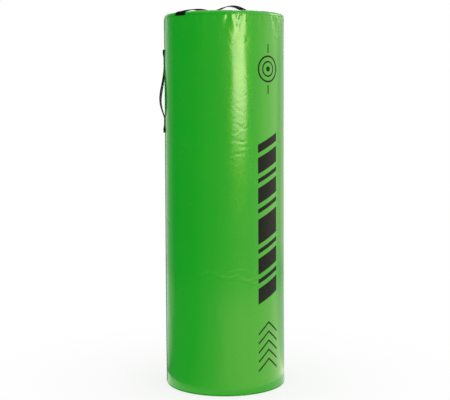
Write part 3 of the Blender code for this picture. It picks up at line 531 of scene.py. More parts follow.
def crease_relief(azimuth, height):
    """Shallow creases that lie across the side of the bag."""
    total = np.zeros_like(height)
    for centre, middle, length, half_width, depth, tilt, bow in CREASES:
        around = distance_round(azimuth, centre)
        up = height - middle
        cosine, sine = math.cos(math.radians(tilt)), math.sin(math.radians(tilt))
        along = around * cosine + up * sine
        across = (up * cosine - around * sine - bow * along ** 2 / length) / half_width
        window = np.where(np.abs(along) < length, np.cos(math.pi * along / (2 * length)) ** 2, 0)
        total -= depth * window * valley(across, *CREASE_VALLEY)
    return total


def wave_relief(azimuth, height, waves, depth):
    """Wide unevenness from the foam, as waves that close round the bag."""
    return depth * sum(np.sin(turns * azimuth + rise * height + phase) for turns, rise, phase in waves)


def between(values, row, column):
    """Values of a grid between its points, at places given as a row and a column."""
    row, column = np.broadcast_arrays(np.asarray(row, float), np.asarray(column, float))
    first_row = np.clip(row.astype(int), 0, values.shape[0] - 2)
    first_column = np.clip(column.astype(int), 0, values.shape[1] - 2)
    down, along = row - first_row, column - first_column
    if values.ndim == 3:
        down, along = down[..., None], along[..., None]
    left, right = values[:, :-1][first_row, first_column], values[:, 1:][first_row, first_column]
    upper = left * (1 - along) + right * along
    left, right = values[1:, :-1][first_row, first_column], values[1:, 1:][first_row, first_column]
    return upper * (1 - down) + (left * (1 - along) + right * along) * down


# Gathers at the top seam: cloth cut a little too large is drawn in to the ring that it is sewn to

GATHER_COLUMNS = 300
GATHER_REACH = 0.132
GATHER_INNER_RADIUS = 0.150
GATHER_SPARE = 0.030
GATHER_SPARE_REACH = 0.030
GATHER_SEED = 0.0012
GATHER_SHARE = 0.45
GATHER_LIMIT = 0.0012
GATHER_UNEVENNESS = 0.25
DRAWN_IN_BY = 12
SETTLED_BY = 24
CLOTH_SETTINGS = {
    "quality": 10, "mass": 0.05, "tension_stiffness": 15, "compression_stiffness": 15, "shear_stiffness": 5,
    "bending_stiffness": 8, "tension_damping": 25, "compression_damping": 25, "bending_damping": 2,
    "air_damping": 8, "vertex_group_mass": "held", "pin_stiffness": 1.0, "use_pressure": True,
    "uniform_pressure_force": 0.5,
}


def gather_profile():
    """Radius and height of the cloth's rows up the wall and over the shoulder, and the row in the seam."""
    wall = np.array([(RADIUS, height) for height in np.linspace(TOP_SEAM - GATHER_REACH, TOP_SEAM, 30)])
    shoulder = arc(SHOULDER_CENTRE, SHOULDER_RADIUS, 0, SHOULDER_ANGLE, 6)
    radii = np.linspace(shoulder[-1, 0], GATHER_INNER_RADIUS, 12)[1:]
    return np.vstack([wall, shoulder, np.stack([radii, dome_height(radii)], axis=1)]), len(wall) - 1


def uneven_round():
    """A random value for each column of the cloth, alike in neighbouring columns."""
    values = rng.normal(0, 1, GATHER_COLUMNS)
    weights = np.exp(-0.5 * (np.arange(-6, 7) / 1.6) ** 2)
    return np.convolve(np.concatenate([values[-6:], values, values[:6]]), weights / weights.sum(), "valid")


def settle_cloth(start, end, held_rows):
    """Points of a cloth that is drawn from one grid of places to another, with some rows held."""
    rows, columns = start.shape[:2]
    cloth = build_mesh("drawn_cloth", start, grid_faces(rows, columns, wrap_columns=True))
    held = cloth.vertex_groups.new(name="held")
    for row in held_rows:
        held.add(list(range(row * columns, (row + 1) * columns)), 1.0, "REPLACE")
    modifier = cloth.modifiers.new("cloth", "CLOTH")
    for setting, value in CLOTH_SETTINGS.items():
        setattr(modifier.settings, setting, value)
    modifier.settings.effector_weights.gravity = 0
    modifier.point_cache.frame_end = SETTLED_BY
    cloth.shape_key_add(name="cut")
    drawn = cloth.shape_key_add(name="drawn_in")
    drawn.data.foreach_set("co", end.ravel())
    for frame_number, value in ((1, 0.0), (DRAWN_IN_BY, 1.0)):
        drawn.value = value
        drawn.keyframe_insert("value", frame=frame_number)
    for frame_number in range(1, SETTLED_BY + 1):
        bpy.context.scene.frame_set(frame_number)
    settled = cloth.evaluated_get(bpy.context.evaluated_depsgraph_get())
    points = np.empty(start.size)
    settled.data.vertices.foreach_get("co", points)
    bpy.context.scene.frame_set(1)
    mesh = cloth.data
    action = mesh.shape_keys.animation_data.action
    bpy.data.objects.remove(cloth)
    bpy.data.meshes.remove(mesh)
    bpy.data.actions.remove(action)
    return points.reshape(start.shape)


def draw_in_gathers():
    """Places along the cover past its top seam, and how far the settled cloth stands out at each."""
    profile, seam = gather_profile()
    places = travelled(profile)
    places -= places[seam]
    azimuth = ring_angles(GATHER_COLUMNS)
    true_shape = polar(profile[:, 0:1], azimuth, profile[:, 1:2])
    uneven = uneven_round()
    near = np.exp(-((places / GATHER_SPARE_REACH) ** 2))
    held = [0, 1, seam, seam + 1, len(profile) - 2, len(profile) - 1]
    loose = np.ones(len(profile))
    loose[held] = 0
    drawn, cut = true_shape.copy(), true_shape.copy()
    drawn[:, :, :2] *= 1 + GATHER_SEED * np.outer(near * loose, uneven)[:, :, None]
    cut[:, :, :2] *= 1 + GATHER_SPARE * np.outer(near, 1 + GATHER_UNEVENNESS * uneven)[:, :, None]
    moved = settle_cloth(cut, drawn, held) - true_shape
    out = outward(profile)
    radial = moved[:, :, 0] * np.cos(azimuth) + moved[:, :, 1] * np.sin(azimuth)
    stands_out = radial * out[:, 0:1] + moved[:, :, 2] * out[:, 1:2]
    stands_out -= stands_out.mean(axis=1, keepdims=True)
    relief = GATHER_LIMIT * np.tanh(GATHER_SHARE * stands_out / GATHER_LIMIT)
    return places, np.concatenate([relief, relief[:, :1]], axis=1)


GATHER_PLACES, GATHERS = draw_in_gathers()


def gather_relief(azimuth, place):
    """How far the gathers stand out at an azimuth and a distance past the top seam, negative below it."""
    row = np.interp(place, GATHER_PLACES, np.arange(len(GATHER_PLACES)))
    return between(GATHERS, row, azimuth / TURN % 1 * GATHER_COLUMNS)


def side_relief(azimuth, height):
    """How far the side sheet stands out from a true cylinder."""
    drop = np.maximum(TOP_SEAM - height, 0)
    climb = np.maximum(height - BASE_SEAM, 0)
    uneven = crease_relief(azimuth, height) + wave_relief(azimuth, height, SWELLS, SWELL_DEPTH)
    uneven += wave_relief(azimuth, height, RIPPLES, RIPPLE_DEPTH)
    relief = ease(drop / CALM_BELOW_TOP_SEAM) * ease(climb / CALM_ABOVE_BASE_SEAM) * uneven
    relief += pucker_relief(azimuth, drop) + gather_relief(azimuth, -drop)
    flare = RIM_FLARE * np.exp(-((climb / RIM_FLARE_REACH) ** 2))
    return relief + flare * ease(climb / RIM_FLARE_START)


def lap_rise(azimuth):
    """How far the side sheet has risen over its own start, where it laps itself."""
    start = WEST + TURN + LAP_START
    return LAP_RISE * ease((azimuth - start) / (-LAP_START - 0.005))


# Shader helpers

def feed(node, sockets):
    """Give a node's sockets values, or links where a value comes from another node."""
    for key, value in sockets.items():
        value = getattr(value, "socket", value)
        if isinstance(value, bpy.types.NodeSocket):
            node.id_data.links.new(value, node.inputs[key])
        else:
            node.inputs[key].default_value = value


def add(tree, kind, sockets=(), **settings):
    """A node with its settings, whose sockets are linked or given values."""
    node = tree.nodes.new(kind)
    for name, value in settings.items():
        setattr(node, name, value)
    feed(node, dict(sockets))
    return node


def shader_from(tree, kind, sockets=()):
    """What a shader node puts out."""
    return add(tree, kind, sockets).outputs[0]


def new_material(name):
    """A material and its node tree."""
    material = bpy.data.materials.new(name)
    material.use_nodes = True
    return material, material.node_tree


class Value:
    """A shader value that makes the nodes for whatever is done with it."""

    def __init__(self, socket):
        self.socket = socket

    def through(self, kind, sockets, output=0, **settings):
        """What a new node makes of this value."""
        return Value(add(self.socket.id_data, kind, sockets, **settings).outputs[output])

    def math(self, operation, *others):
        """This value and others in a Math node."""
        return self.through("ShaderNodeMath", enumerate((self, *others)), operation=operation)

    def __add__(self, other):
        return self.math("ADD", other)

    def __sub__(self, other):
        return self.math("SUBTRACT", other)

    def __mul__(self, other):
        return self.math("MULTIPLY", other)

    def __rtruediv__(self, number):
        return self.through("ShaderNodeMath", {0: number, 1: self}, operation="DIVIDE")

    def ranged(self, low, high, new_low=0.0, new_high=1.0, **settings):
        """This value carried from one range to another and held within it."""
        sockets = {"Value": self, "From Min": low, "From Max": high, "To Min": new_low, "To Max": new_high}
        return self.through("ShaderNodeMapRange", sockets, **settings)

    def soft_step(self, low, high, top=1.0):
        """0 at low and top at high, with a soft rise between."""
        return self.ranged(low, high, 0.0, top, interpolation_type="SMOOTHERSTEP")

    def stretched(self, *scale):
        """This place stretched along each axis."""
        return self.through("ShaderNodeMapping", {"Vector": self, "Scale": scale})

    def noise(self, scale, detail=3.0, roughness=0.5):
        """A noise value at this place."""
        sockets = {"Vector": self, "Scale": scale, "Detail": detail, "Roughness": roughness}
        return self.through("ShaderNodeTexNoise", sockets, "Fac")

    def colour_between(self, first, second):
        """The first colour turning into the second as this value rises."""
        return self.through("ShaderNodeMix", {0: self, 6: first, 7: second}, 2, data_type="RGBA")

    def axes(self):
        """The X and Y of this place."""
        found = add(self.socket.id_data, "ShaderNodeSeparateXYZ", {0: self}).outputs
        return Value(found["X"]), Value(found["Y"])


def new_group(name, places, values):
    """A shader node group, and what it is given: places, two colours and named values."""
    tree = bpy.data.node_groups.new(name, "ShaderNodeTree")
    kinds = dict.fromkeys(places, "Vector") | dict.fromkeys(("Colour", "Second Colour"), "Color")
    kinds |= dict.fromkeys(values, "Float")
    for label, kind in kinds.items():
        socket = tree.interface.new_socket(name=label, in_out="INPUT", socket_type="NodeSocket" + kind)
        if label in values:
            socket.default_value = values[label]
    for label, kind in (("Colour", "Color"), ("Roughness", "Float"), ("Height", "Float")):
        tree.interface.new_socket(name=label, in_out="OUTPUT", socket_type="NodeSocket" + kind)
    given = tree.nodes.new("NodeGroupInput").outputs
    return tree, {label: Value(given[label]) for label in kinds}


def put_out(tree, colour, roughness, height):
    """The group, once its outputs are filled."""
    add(tree, "NodeGroupOutput", {"Colour": colour, "Roughness": roughness, "Height": height})
    return tree


def make_tarpaulin():
    """Coated tarpaulin: its cloth showing through, fine wrinkles, cloudy colour and light scuffs."""
    values = {"Gloss Roughness": 0.2, "Scuffs": 0.3, "Wrinkles": 1.0, "Cloth Pitch": 0.0011}
    tree, given = new_group("coated_tarpaulin", ("Place", "Flat Place"), values)
    place = given["Place"]
    cloudy = place.noise(3.1, 3.0, 0.55) * 0.6 + place.stretched(9.0, 9.0, 1.6).noise(1.0, 2.0) * 0.4
    plain = cloudy.ranged(0.35, 0.65).colour_between(given["Colour"], given["Second Colour"])
    scratches = place.stretched(140.0, 140.0, 18.0).noise(1.0, 4.0, 0.6).ranged(0.62, 0.80)
    scuffed = scratches * place.noise(7.0, 4.0, 0.6).ranged(0.50, 0.72) * given["Scuffs"]
    smudges = place.noise(14.0, 5.0, 0.65).ranged(0.3, 0.7, -0.03, 0.05)
    ridges = (place.stretched(26.0, 26.0, 62.0).noise(1.0, 3.0, 0.55) - 0.5).math("ABSOLUTE")
    wrinkles = ridges * place.noise(9.0, 2.0).ranged(0.42, 0.62, 0.15, 1.0) * given["Wrinkles"]
    across, along = given["Flat Place"].axes()
    per_cloth = TURN / given["Cloth Pitch"]
    threads = (across * per_cloth).math("SINE") * (along * per_cloth).math("SINE")
    colour = scuffed.colour_between(plain, (0.16, 0.38, 0.12, 1))
    rough = given["Gloss Roughness"] + smudges + scuffed * 0.3
    return put_out(tree, colour, rough, wrinkles + threads * 0.008)


def make_weave():
    """Woven tape: ribs that zigzag across it, fibres, and lint that lightens the high threads."""
    values = {"Rib Pitch": 0.0018, "Zigzag Width": 0.0125, "Zigzag Rise": 0.5}
    tree, given = new_group("woven_tape", ("Flat Place",), values)
    place = given["Flat Place"]
    across, along = place.axes()
    zigzag = across.math("PINGPONG", given["Zigzag Width"]) * given["Zigzag Rise"]
    per_rib = TURN / given["Rib Pitch"]
    ribs = ((along + zigzag) * per_rib).math("SINE")
    cross = (across * (per_rib * 1.3)).math("SINE")
    fibres = place.stretched(5200.0, 900.0, 1.0).noise(1.0)
    height = ribs * 0.35 + cross * 0.15 + fibres * 0.35
    lint = place.noise(90.0, 4.0, 0.7).ranged(0.45, 0.75, 0.0, 0.8)
    worn = lint * height.ranged(0.1, 0.6, 0.2, 1.0)
    colour = worn.colour_between(given["Colour"], given["Second Colour"])
    return put_out(tree, colour, fibres.ranged(0.3, 0.7, 0.62, 0.82), height)


def make_cells():
    """Open foam: cells of several sizes, with painted shade that makes their hollows a little darker."""
    tree, given = new_group("foam_cells", ("Place",), {"Cells": 700.0})
    place = given["Place"]
    cells = place.through("ShaderNodeTexVoronoi", {"Vector": place, "Scale": given["Cells"]}, "Distance")
    yellowing = place.noise(6.0).ranged(0.3, 0.7, 0.0, 0.5)
    # Painted shade: the second colour darkens the cells' hollows, and random yellowing takes it too
    hollow_shade_and_yellowing = cells.ranged(0.5, 0.1, 0.0, 0.8).math("MAXIMUM", yellowing)
    colour = hollow_shade_and_yellowing.colour_between(given["Colour"], given["Second Colour"])
    return put_out(tree, colour, cells.ranged(0.0, 0.7, 0.98, 0.86), cells)


def make_wear():
    """Handling wear for small hard pieces: fine scratches and dull, lighter patches."""
    tree, given = new_group("handling_wear", ("Place",), {"Plain Roughness": 0.35, "Wear": 0.5})
    scratches = given["Place"].stretched(350.0, 2600.0, 2600.0).noise(1.0, 3.0, 0.6)
    patches = given["Place"].noise(260.0, 4.0, 0.65)
    worn = patches.ranged(0.45, 0.7) * given["Wear"]
    colour = worn.colour_between(given["Colour"], given["Second Colour"])
    rough = given["Plain Roughness"] + scratches.ranged(0.35, 0.65, -0.06, 0.12)
    return put_out(tree, colour, rough, scratches + patches * 0.5)


def finish(name, group, colour, second_colour, bump_strength, bump_distance, **values):
    """A material whose colour, roughness and bump come from a group; values go to the group or the shader."""
    material, tree = new_material(name)
    look = add(tree, "ShaderNodeGroup", node_tree=group)
    coordinates = tree.nodes.new("ShaderNodeTexCoord").outputs
    for label, kind in (("Place", "Object"), ("Flat Place", "UV")):
        if label in look.inputs:
            feed(look, {label: coordinates[kind]})
    feed(look, {"Colour": (*colour, 1), "Second Colour": (*second_colour, 1)})
    bump = add(tree, "ShaderNodeBump", {
        "Height": look.outputs["Height"], "Strength": bump_strength, "Distance": bump_distance,
    })
    shader = tree.nodes["Principled BSDF"]
    feed(shader, {"Base Color": look.outputs["Colour"], "Roughness": look.outputs["Roughness"]})
    feed(shader, {"Normal": bump.outputs[0]})
    for key, value in values.items():
        label = key.replace("_", " ").title().replace("Ior", "IOR")
        feed(look if label in look.inputs else shader, {label: value})
    return material


TARPAULIN = make_tarpaulin()
WEAVE = make_weave()
CELLS = make_cells()
WEAR = make_wear()

# The coating's gloss is warm where it is seen square on, as the photo shows on the whole right half
GOLDEN_SHEEN = (1.0, 0.62, 0.05, 1)

COVER_FINISH = finish(
    "cover_pvc", TARPAULIN, (0.001, 0.375, 0.016), (0.001, 0.355, 0.016), 0.55, 0.0016, gloss_roughness=0.24,
    scuffs=0.04, wrinkles=1.0, specular_ior_level=0.45, specular_tint=GOLDEN_SHEEN, coat_weight=0.52,
    coat_roughness=0.08, coat_ior=1.5)
BASE_FINISH = finish(
    "base_pvc", TARPAULIN, (0.006, 0.330, 0.018), (0.005, 0.300, 0.018), 0.5, 0.0012, gloss_roughness=0.34,
    scuffs=0.60, wrinkles=0.5, specular_ior_level=0.45, specular_tint=GOLDEN_SHEEN, coat_weight=0.2,
    coat_roughness=0.2)
INK_FINISH = finish(
    "printed_ink", TARPAULIN, (0.0060, 0.0095, 0.0055), (0.0085, 0.0110, 0.0075), 0.4, 0.0016,
    gloss_roughness=0.26, scuffs=0.12, wrinkles=1.0, specular_ior_level=0.08, coat_weight=0.04,
    coat_roughness=0.12)
WEBBING_FINISH = finish(
    "webbing", WEAVE, (0.0050, 0.0054, 0.0058), (0.017, 0.018, 0.018), 0.9, 0.0005,
    specular_ior_level=0.05, sheen_weight=0.01, sheen_roughness=0.4)
THREAD_FINISH = finish(
    "bonded_thread", WEAR, (0.014, 0.014, 0.015), (0.045, 0.045, 0.047), 0.4, 0.0001,
    plain_roughness=0.5, specular_ior_level=0.4)
GREEN_THREAD_FINISH = finish(
    "green_thread", WEAR, (0.018, 0.230, 0.022), (0.050, 0.330, 0.050), 0.4, 0.0001,
    plain_roughness=0.45, specular_ior_level=0.45)
BINDING_FINISH = finish(
    "binding", WEAVE, (0.016, 0.016, 0.017), (0.040, 0.040, 0.042), 0.7, 0.0003,
    rib_pitch=0.0009, zigzag_width=0.004, specular_ior_level=0.3)
BACKING_FINISH = finish(
    "backing", WEAVE, (0.200, 0.210, 0.205), (0.300, 0.310, 0.300), 0.7, 0.0003,
    rib_pitch=0.0012, zigzag_width=0.002, specular_ior_level=0.3)
TAPE_FINISH = finish(
    "zip_tape", WEAVE, (0.014, 0.014, 0.016), (0.036, 0.036, 0.040), 0.8, 0.0003,
    rib_pitch=0.0008, zigzag_width=0.0016, zigzag_rise=1.0, specular_ior_level=0.3)
# For each finish on the cells group, the second colour is the painted shade in the cells' hollows and the
# colour of its random yellowing
HOOK_FINISH = finish(
    "hook_tape", CELLS, (0.022, 0.022, 0.024), (0.008, 0.008, 0.009), 1.0, 0.0008,
    cells=900.0, specular_ior_level=0.4)
LOOP_FINISH = finish(
    "loop_tape", CELLS, (0.026, 0.026, 0.028), (0.010, 0.010, 0.011), 1.0, 0.0010,
    cells=1500.0, specular_ior_level=0.2, sheen_weight=0.4, sheen_roughness=0.5)
CORE_FINISH = finish(
    "core_foam", CELLS, (0.230, 0.235, 0.250), (0.130, 0.132, 0.142), 0.8, 0.0015,
    cells=420.0, specular_ior_level=0.15)
SOFT_FINISH = finish(
    "soft_foam", CELLS, (0.640, 0.610, 0.500), (0.520, 0.440, 0.270), 0.8, 0.0012,
    cells=620.0, specular_ior_level=0.15)
TEETH_FINISH = finish(
    "moulded_teeth", WEAR, (0.020, 0.020, 0.022), (0.050, 0.050, 0.053), 0.3, 0.0001,
    plain_roughness=0.33, specular_ior_level=0.5)
METAL_FINISH = finish(
    "slider_metal", WEAR, (0.620, 0.620, 0.610), (0.430, 0.425, 0.410), 0.3, 0.0001,
    plain_roughness=0.26, wear=0.6, metallic=1.0)


# Cover

def side_profile():
    """Radius and height up the side sheet from one seam allowance to the other, and what is on the wall."""
    low = BASE_SEAM + CLEARANCE / 2 + TURN_RADIUS
    high = TOP_SEAM - CLEARANCE / 2 - TOP_TURN_RADIUS
    lower = arc((RADIUS - TURN_RADIUS, low), TURN_RADIUS, -math.pi / 2, 0, 4)
    upper = arc((RADIUS - TOP_TURN_RADIUS, high), TOP_TURN_RADIUS, 0, math.pi / 2, 4)
    limits = [low, low + 0.012, 0.80, high - 0.10, high - 0.02, high]
    heights = []
    for start, end, spacing in zip(limits, limits[1:], SIDE_ROW_SPACINGS):
        heights += list(np.linspace(start, end, int(round((end - start) / spacing)), endpoint=False))
    wall = np.array([(RADIUS, height) for height in heights[1:]])
    first, last = (ALLOWANCE_EDGE, lower[0, 1]), (ALLOWANCE_EDGE, upper[-1, 1])
    points = np.vstack([[first], lower, wall, upper, [last]])
    on_wall = np.zeros(len(points), dtype=bool)
    on_wall[len(lower):-len(upper)] = True
    return points, on_wall


SIDE_PROFILE, SIDE_ON_WALL = side_profile()
SIDE_ANGLES = np.linspace(WEST, WEST + TURN + LAP_WIDTH, SIDE_COLUMNS)


def side_grid():
    """Radii of the side sheet's outer face at each of its points."""
    angle, height = np.meshgrid(SIDE_ANGLES, SIDE_PROFILE[:, 1])
    share = ease((SIDE_PROFILE[:, 0:1] - RADIUS + TURN_RADIUS) / TURN_RADIUS)
    return SIDE_PROFILE[:, 0:1] + side_relief(angle, height) * share + lap_rise(angle)


SIDE_RADII = side_grid()


def cover_points(azimuth, height, lift=0.0):
    """Points on the side sheet's outer face as it is meshed, on top of the lap where it laps itself."""
    azimuth = WEST + (np.asarray(azimuth, float) - WEST) % TURN
    azimuth = np.where(azimuth < WEST + LAP_WIDTH, azimuth + TURN, azimuth)
    column = (azimuth - SIDE_ANGLES[0]) / (SIDE_ANGLES[1] - SIDE_ANGLES[0])
    wall_rows = np.flatnonzero(SIDE_ON_WALL)
    row = np.interp(height, SIDE_PROFILE[wall_rows, 1], wall_rows)
    return polar(between(SIDE_RADII, row, column) + lift, azimuth, height)


def make_side_sheet():
    """The sheet that is rolled round the bag and laps itself under the side handle."""
    angle, height = np.meshgrid(SIDE_ANGLES, SIDE_PROFILE[:, 1])
    faces = grid_faces(*angle.shape)
    row, column = np.divmod(faces[:, 0], len(SIDE_ANGLES))
    before_root = SIDE_ANGLES[column + 1] <= WEST + TURN - LAP_ROOT
    faces = faces[before_root | (SIDE_ON_WALL[row] & SIDE_ON_WALL[row + 1])]
    used, corners = np.unique(faces, return_inverse=True)
    points = polar(SIDE_RADII, angle, height).reshape(-1, 3)[used]
    uv = np.stack([angle * RADIUS, height], axis=2).reshape(-1, 2)[used]
    sheet = build_mesh("side_sheet", points, corners.reshape(faces.shape), uv, COVER_FINISH)
    give_thickness(sheet, COVER_SHEET)
    dress(sheet, "root", "cover_pvc", "side_panel")
    girth = RADIUS * (TURN + LAP_WIDTH)
    cut_cloth(girth, line_length(SIDE_PROFILE))


def top_profile():
    """Radius and height from the top's centre over the shoulder to its seam allowance."""
    middle = np.linspace(TOP_FIRST_RING, TOP_MIDDLE_REACH, 16)
    border = np.linspace(TOP_BORDER_START, SHOULDER_CENTRE_RADIUS, 8)
    radii = np.concatenate([middle, border])
    dome = np.stack([radii, dome_height(radii)], axis=1)
    shoulder = arc(SHOULDER_CENTRE, SHOULDER_RADIUS, SHOULDER_ANGLE, 0, 12)
    bend_height = TOP_SEAM + CLEARANCE / 2 + TOP_TURN_RADIUS
    bend = arc((RADIUS - TOP_TURN_RADIUS, bend_height), TOP_TURN_RADIUS, 0, -math.pi / 2, 4)
    return np.vstack([dome[:-1], shoulder, bend[1:], [(ALLOWANCE_EDGE, bend[-1][1])]])


def make_top_sheet():
    """The domed disc with its soft shoulder, puckered where it is sewn to the side."""
    profile = top_profile()
    out = -outward(profile)
    places = travelled(profile)
    past_seam = places[-6] - places
    angle, drop = np.meshgrid(ring_angles(ROUND_COLUMNS), np.maximum(past_seam, 0))
    puckered = pucker_relief(angle, drop, TOP_PUCKER_DEPTH_SHARE, TOP_PUCKER_REACH_SHARE)
    puckered += gather_relief(angle, drop)
    relief = np.where(past_seam[:, None] > 0, puckered, 0)
    from_middle = places[:, None] - TOP_FIRST_RING
    fade = ease(drop / CALM_ABOVE_TOP_SEAM) * ease(from_middle / CALM_ROUND_MIDDLE)
    relief += fade * wave_relief(angle, profile[:, 0:1], SWELLS, SWELL_DEPTH)
    points = polar(profile[:, 0:1] + relief * out[:, 0:1], angle, profile[:, 1:2] + relief * out[:, 1:2])
    points = np.vstack([points.reshape(-1, 3), [(0, 0, BAG_HEIGHT)]])
    faces = list(grid_faces(len(profile), ROUND_COLUMNS, wrap_columns=True)[:, ::-1])
    faces += [(len(points) - 1, count, (count + 1) % ROUND_COLUMNS) for count in range(ROUND_COLUMNS)]
    sheet = build_mesh("top_sheet", points, faces, points[:, :2], COVER_FINISH)
    give_thickness(sheet, COVER_SHEET)
    dress(sheet, "root", "cover_pvc", "top_panel")
    across = 2 * line_length(profile)
    cut_cloth(across, across, share=math.pi / 4)


def inside(points, loops):
    """Whether each point of a plane lies inside the first loop and outside the others, its holes."""
    found = np.zeros(len(points), dtype=bool)
    for loop in loops:
        for (x1, y1), (x2, y2) in zip(loop, np.roll(loop, -1, axis=0)):
            if y1 == y2:
                continue
            crosses = (points[:, 1] >= y1) != (points[:, 1] >= y2)
            found ^= crosses & (points[:, 0] < x1 + (points[:, 1] - y1) * (x2 - x1) / (y2 - y1))
    return found


def filled_shape(loops, spacing=None):
    """Points and triangles that fill a loop round its holes, with a grid inside for curved ground."""
    edges, first = [], 0
    for loop in loops:
        edges += [(first + k, first + (k + 1) % len(loop)) for k in range(len(loop))]
        first += len(loop)
    points = np.vstack(loops)
    if spacing:
        low, high = loops[0].min(axis=0), loops[0].max(axis=0)
        x, y = (np.arange(low[axis] + spacing / 2, high[axis], spacing) for axis in range(2))
        grid = np.stack(np.meshgrid(x, y), axis=2).reshape(-1, 2)
        grid = grid[inside(grid, loops)]
        gaps = np.linalg.norm(grid[:, None] - points[None], axis=2).min(axis=1)
        points = np.vstack([points, grid[gaps > spacing * 0.35]])
    found = delaunay_2d_cdt([Vector(point) for point in points], edges, [], 0, 1e-7)
    made = np.array([tuple(point) for point in found[0]])
    triangles = np.array([face for face in found[2] if len(face) == 3])
    return made, triangles[inside(made[triangles].mean(axis=1), loops)]


def pan_rectangle(length, width, radius):
    """A rectangle with round corners about the middle of the base's pan, anticlockwise."""
    corners = []
    for quarter, (side_x, side_y) in enumerate([(1, 1), (-1, 1), (-1, -1), (1, -1)]):
        middle = (side_x * (length / 2 - radius), PAN_CENTRE + side_y * (width / 2 - radius))
        corners.append(arc(middle, radius, quarter * math.pi / 2, (quarter + 1) * math.pi / 2, 8))
    return np.vstack(corners)


def pan_loop(inset):
    """The outline of the base's pan, drawn in by an inset."""
    return pan_rectangle(PAN_LENGTH - 2 * inset, PAN_WIDTH - 2 * inset, PAN_CORNER_RADIUS - inset)


def slot_loop(margin, radius):
    """A line round the slot that the zip closes, outside its edge by a margin."""
    return pan_rectangle(SLOT_LENGTH + 2 * margin, SLOT_WIDTH + 2 * margin, radius)


def make_base_sheet():
    """The disc that the bag stands on, with a pan that keeps the zip off the ground."""
    corner = arc((RADIUS - BASE_CORNER_RADIUS, BASE_CORNER_RADIUS), BASE_CORNER_RADIUS, 0, -math.pi / 2, 6)
    bend = arc((RADIUS - TURN_RADIUS, BASE_CORNER_RADIUS), TURN_RADIUS, math.pi / 2, 0, 4)
    edge = RADIUS - BASE_CORNER_RADIUS - SUPPORT_LOOP
    rim = np.vstack([[(ALLOWANCE_EDGE, bend[0][1])], bend, corner[1:], [(edge, 0)]])
    insets = [(-SUPPORT_LOOP, 0)]
    insets += [(PAN_WALL_RUN * share, PAN_DEPTH * float(ease(share))) for share in np.linspace(0, 1, 9)]
    insets += [(PAN_WALL_RUN + SUPPORT_LOOP, PAN_DEPTH)]
    face_points, face_triangles = filled_shape([ring(edge, ROUND_COLUMNS), pan_loop(-SUPPORT_LOOP)])
    roof_points, roof_triangles = filled_shape([pan_loop(PAN_WALL_RUN + SUPPORT_LOOP), slot_loop(0, 0.002)])
    points, faces = join_parts([
        (stacked_rings(rim, ROUND_COLUMNS), grid_faces(len(rim), ROUND_COLUMNS, wrap_columns=True)[:, ::-1]),
        (at_height(face_points, 0), face_triangles[:, ::-1]),
        (np.vstack([at_height(pan_loop(inset), height) for inset, height in insets]),
         grid_faces(len(insets), len(pan_loop(0)), wrap_columns=True)[:, ::-1]),
        (at_height(roof_points, PAN_DEPTH), roof_triangles[:, ::-1]),
    ])
    sheet = build_mesh("base_sheet", points, faces, points[:, :2], BASE_FINISH)
    merge_points(sheet, turn_out=False)
    give_thickness(sheet, BASE_SHEET)
    dress(sheet, "root", "base_pvc", "base_panel")
    across = 2 * (line_length(rim) + edge)
    cut_cloth(across, across, share=math.pi / 4)


# Webbing

SELVEDGE = [0.45, 0.85] + [1] * 11 + [0.85, 0.45]
STRAP_WIDTH = np.linspace(-WEBBING_WIDTH / 2, WEBBING_WIDTH / 2, len(SELVEDGE))[None, :]


def sewn_across(place):
    """Corners of a line of stitching across a strap."""
    return [(place, -SEAM_HALF_SHARE), (place, SEAM_HALF_SHARE)]


def box_with_cross(start, end):
    """Corners of a sewn box with a cross in it."""
    (low, high), (far_low, far_high) = sewn_across(start), sewn_across(end)
    return [[low, high, far_high, far_low, low], [low, far_high], [high, far_low]]


def make_strap(name, middle, length, seam_lines, known, end_shares=1.0):
    """A strap with its stitching, whose corners are places along it and shares of its half width.

    Known holds places along the strap and the rows of the grid that lie there.
    """
    strap = thick_sheet(name + "_webbing", middle, WEBBING_THICKNESS, WEBBING_FINISH, SELVEDGE, end_shares)
    dress(strap, "root", "webbing", name + "_strap")
    cut_cloth(WEBBING_WIDTH, length)
    normal = surface_normals(middle)
    face = middle + normal * WEBBING_THICKNESS / 2
    seams = []
    for line in seam_lines:
        corners = [(np.interp(place, *known), (share + 1) / 2 * (len(SELVEDGE) - 1)) for place, share in line]
        row, column = resample(corners, 0.4).T
        seams.append((between(face, row, column), between(normal, row, column)))
    dress(make_stitches(name + "_stitching", seams, THREAD_FINISH), "root", "webbing")


def side_handle_path(low, high, bow_bottom, bow_top):
    """Distances out from the axis and heights along the side handle: fold, tab, free bow, tab, fold."""
    near = LAP_RADIUS + CLEARANCE + WEBBING_THICKNESS / 2
    far = near + WEBBING_THICKNESS + CLEARANCE
    bend = (far - near) / 2
    top = high - WEBBING_THICKNESS / 2 - bend
    bottom = low + WEBBING_THICKNESS / 2 + bend
    share = np.linspace(0, 1, 60)
    rise = SIDE_BOW_RISE * np.sin(math.pi * share ** BOW_SKEW) ** BOW_EASE
    return np.vstack([
        [(near, high - FOLD_LENGTH)], arc((near + bend, top), bend, math.pi, 0, 12),
        [(far, high - FOLD_LENGTH), (near, high - FOLD_LENGTH - FOLD_RUN_OUT)],
        np.stack([near + rise, bow_top + (bow_bottom - bow_top) * share], axis=1),
        [(near, low + FOLD_LENGTH + FOLD_RUN_OUT), (far, low + FOLD_LENGTH)],
        arc((near + bend, bottom), bend, 0, -math.pi, 12), [(near, low + FOLD_LENGTH)],
    ])


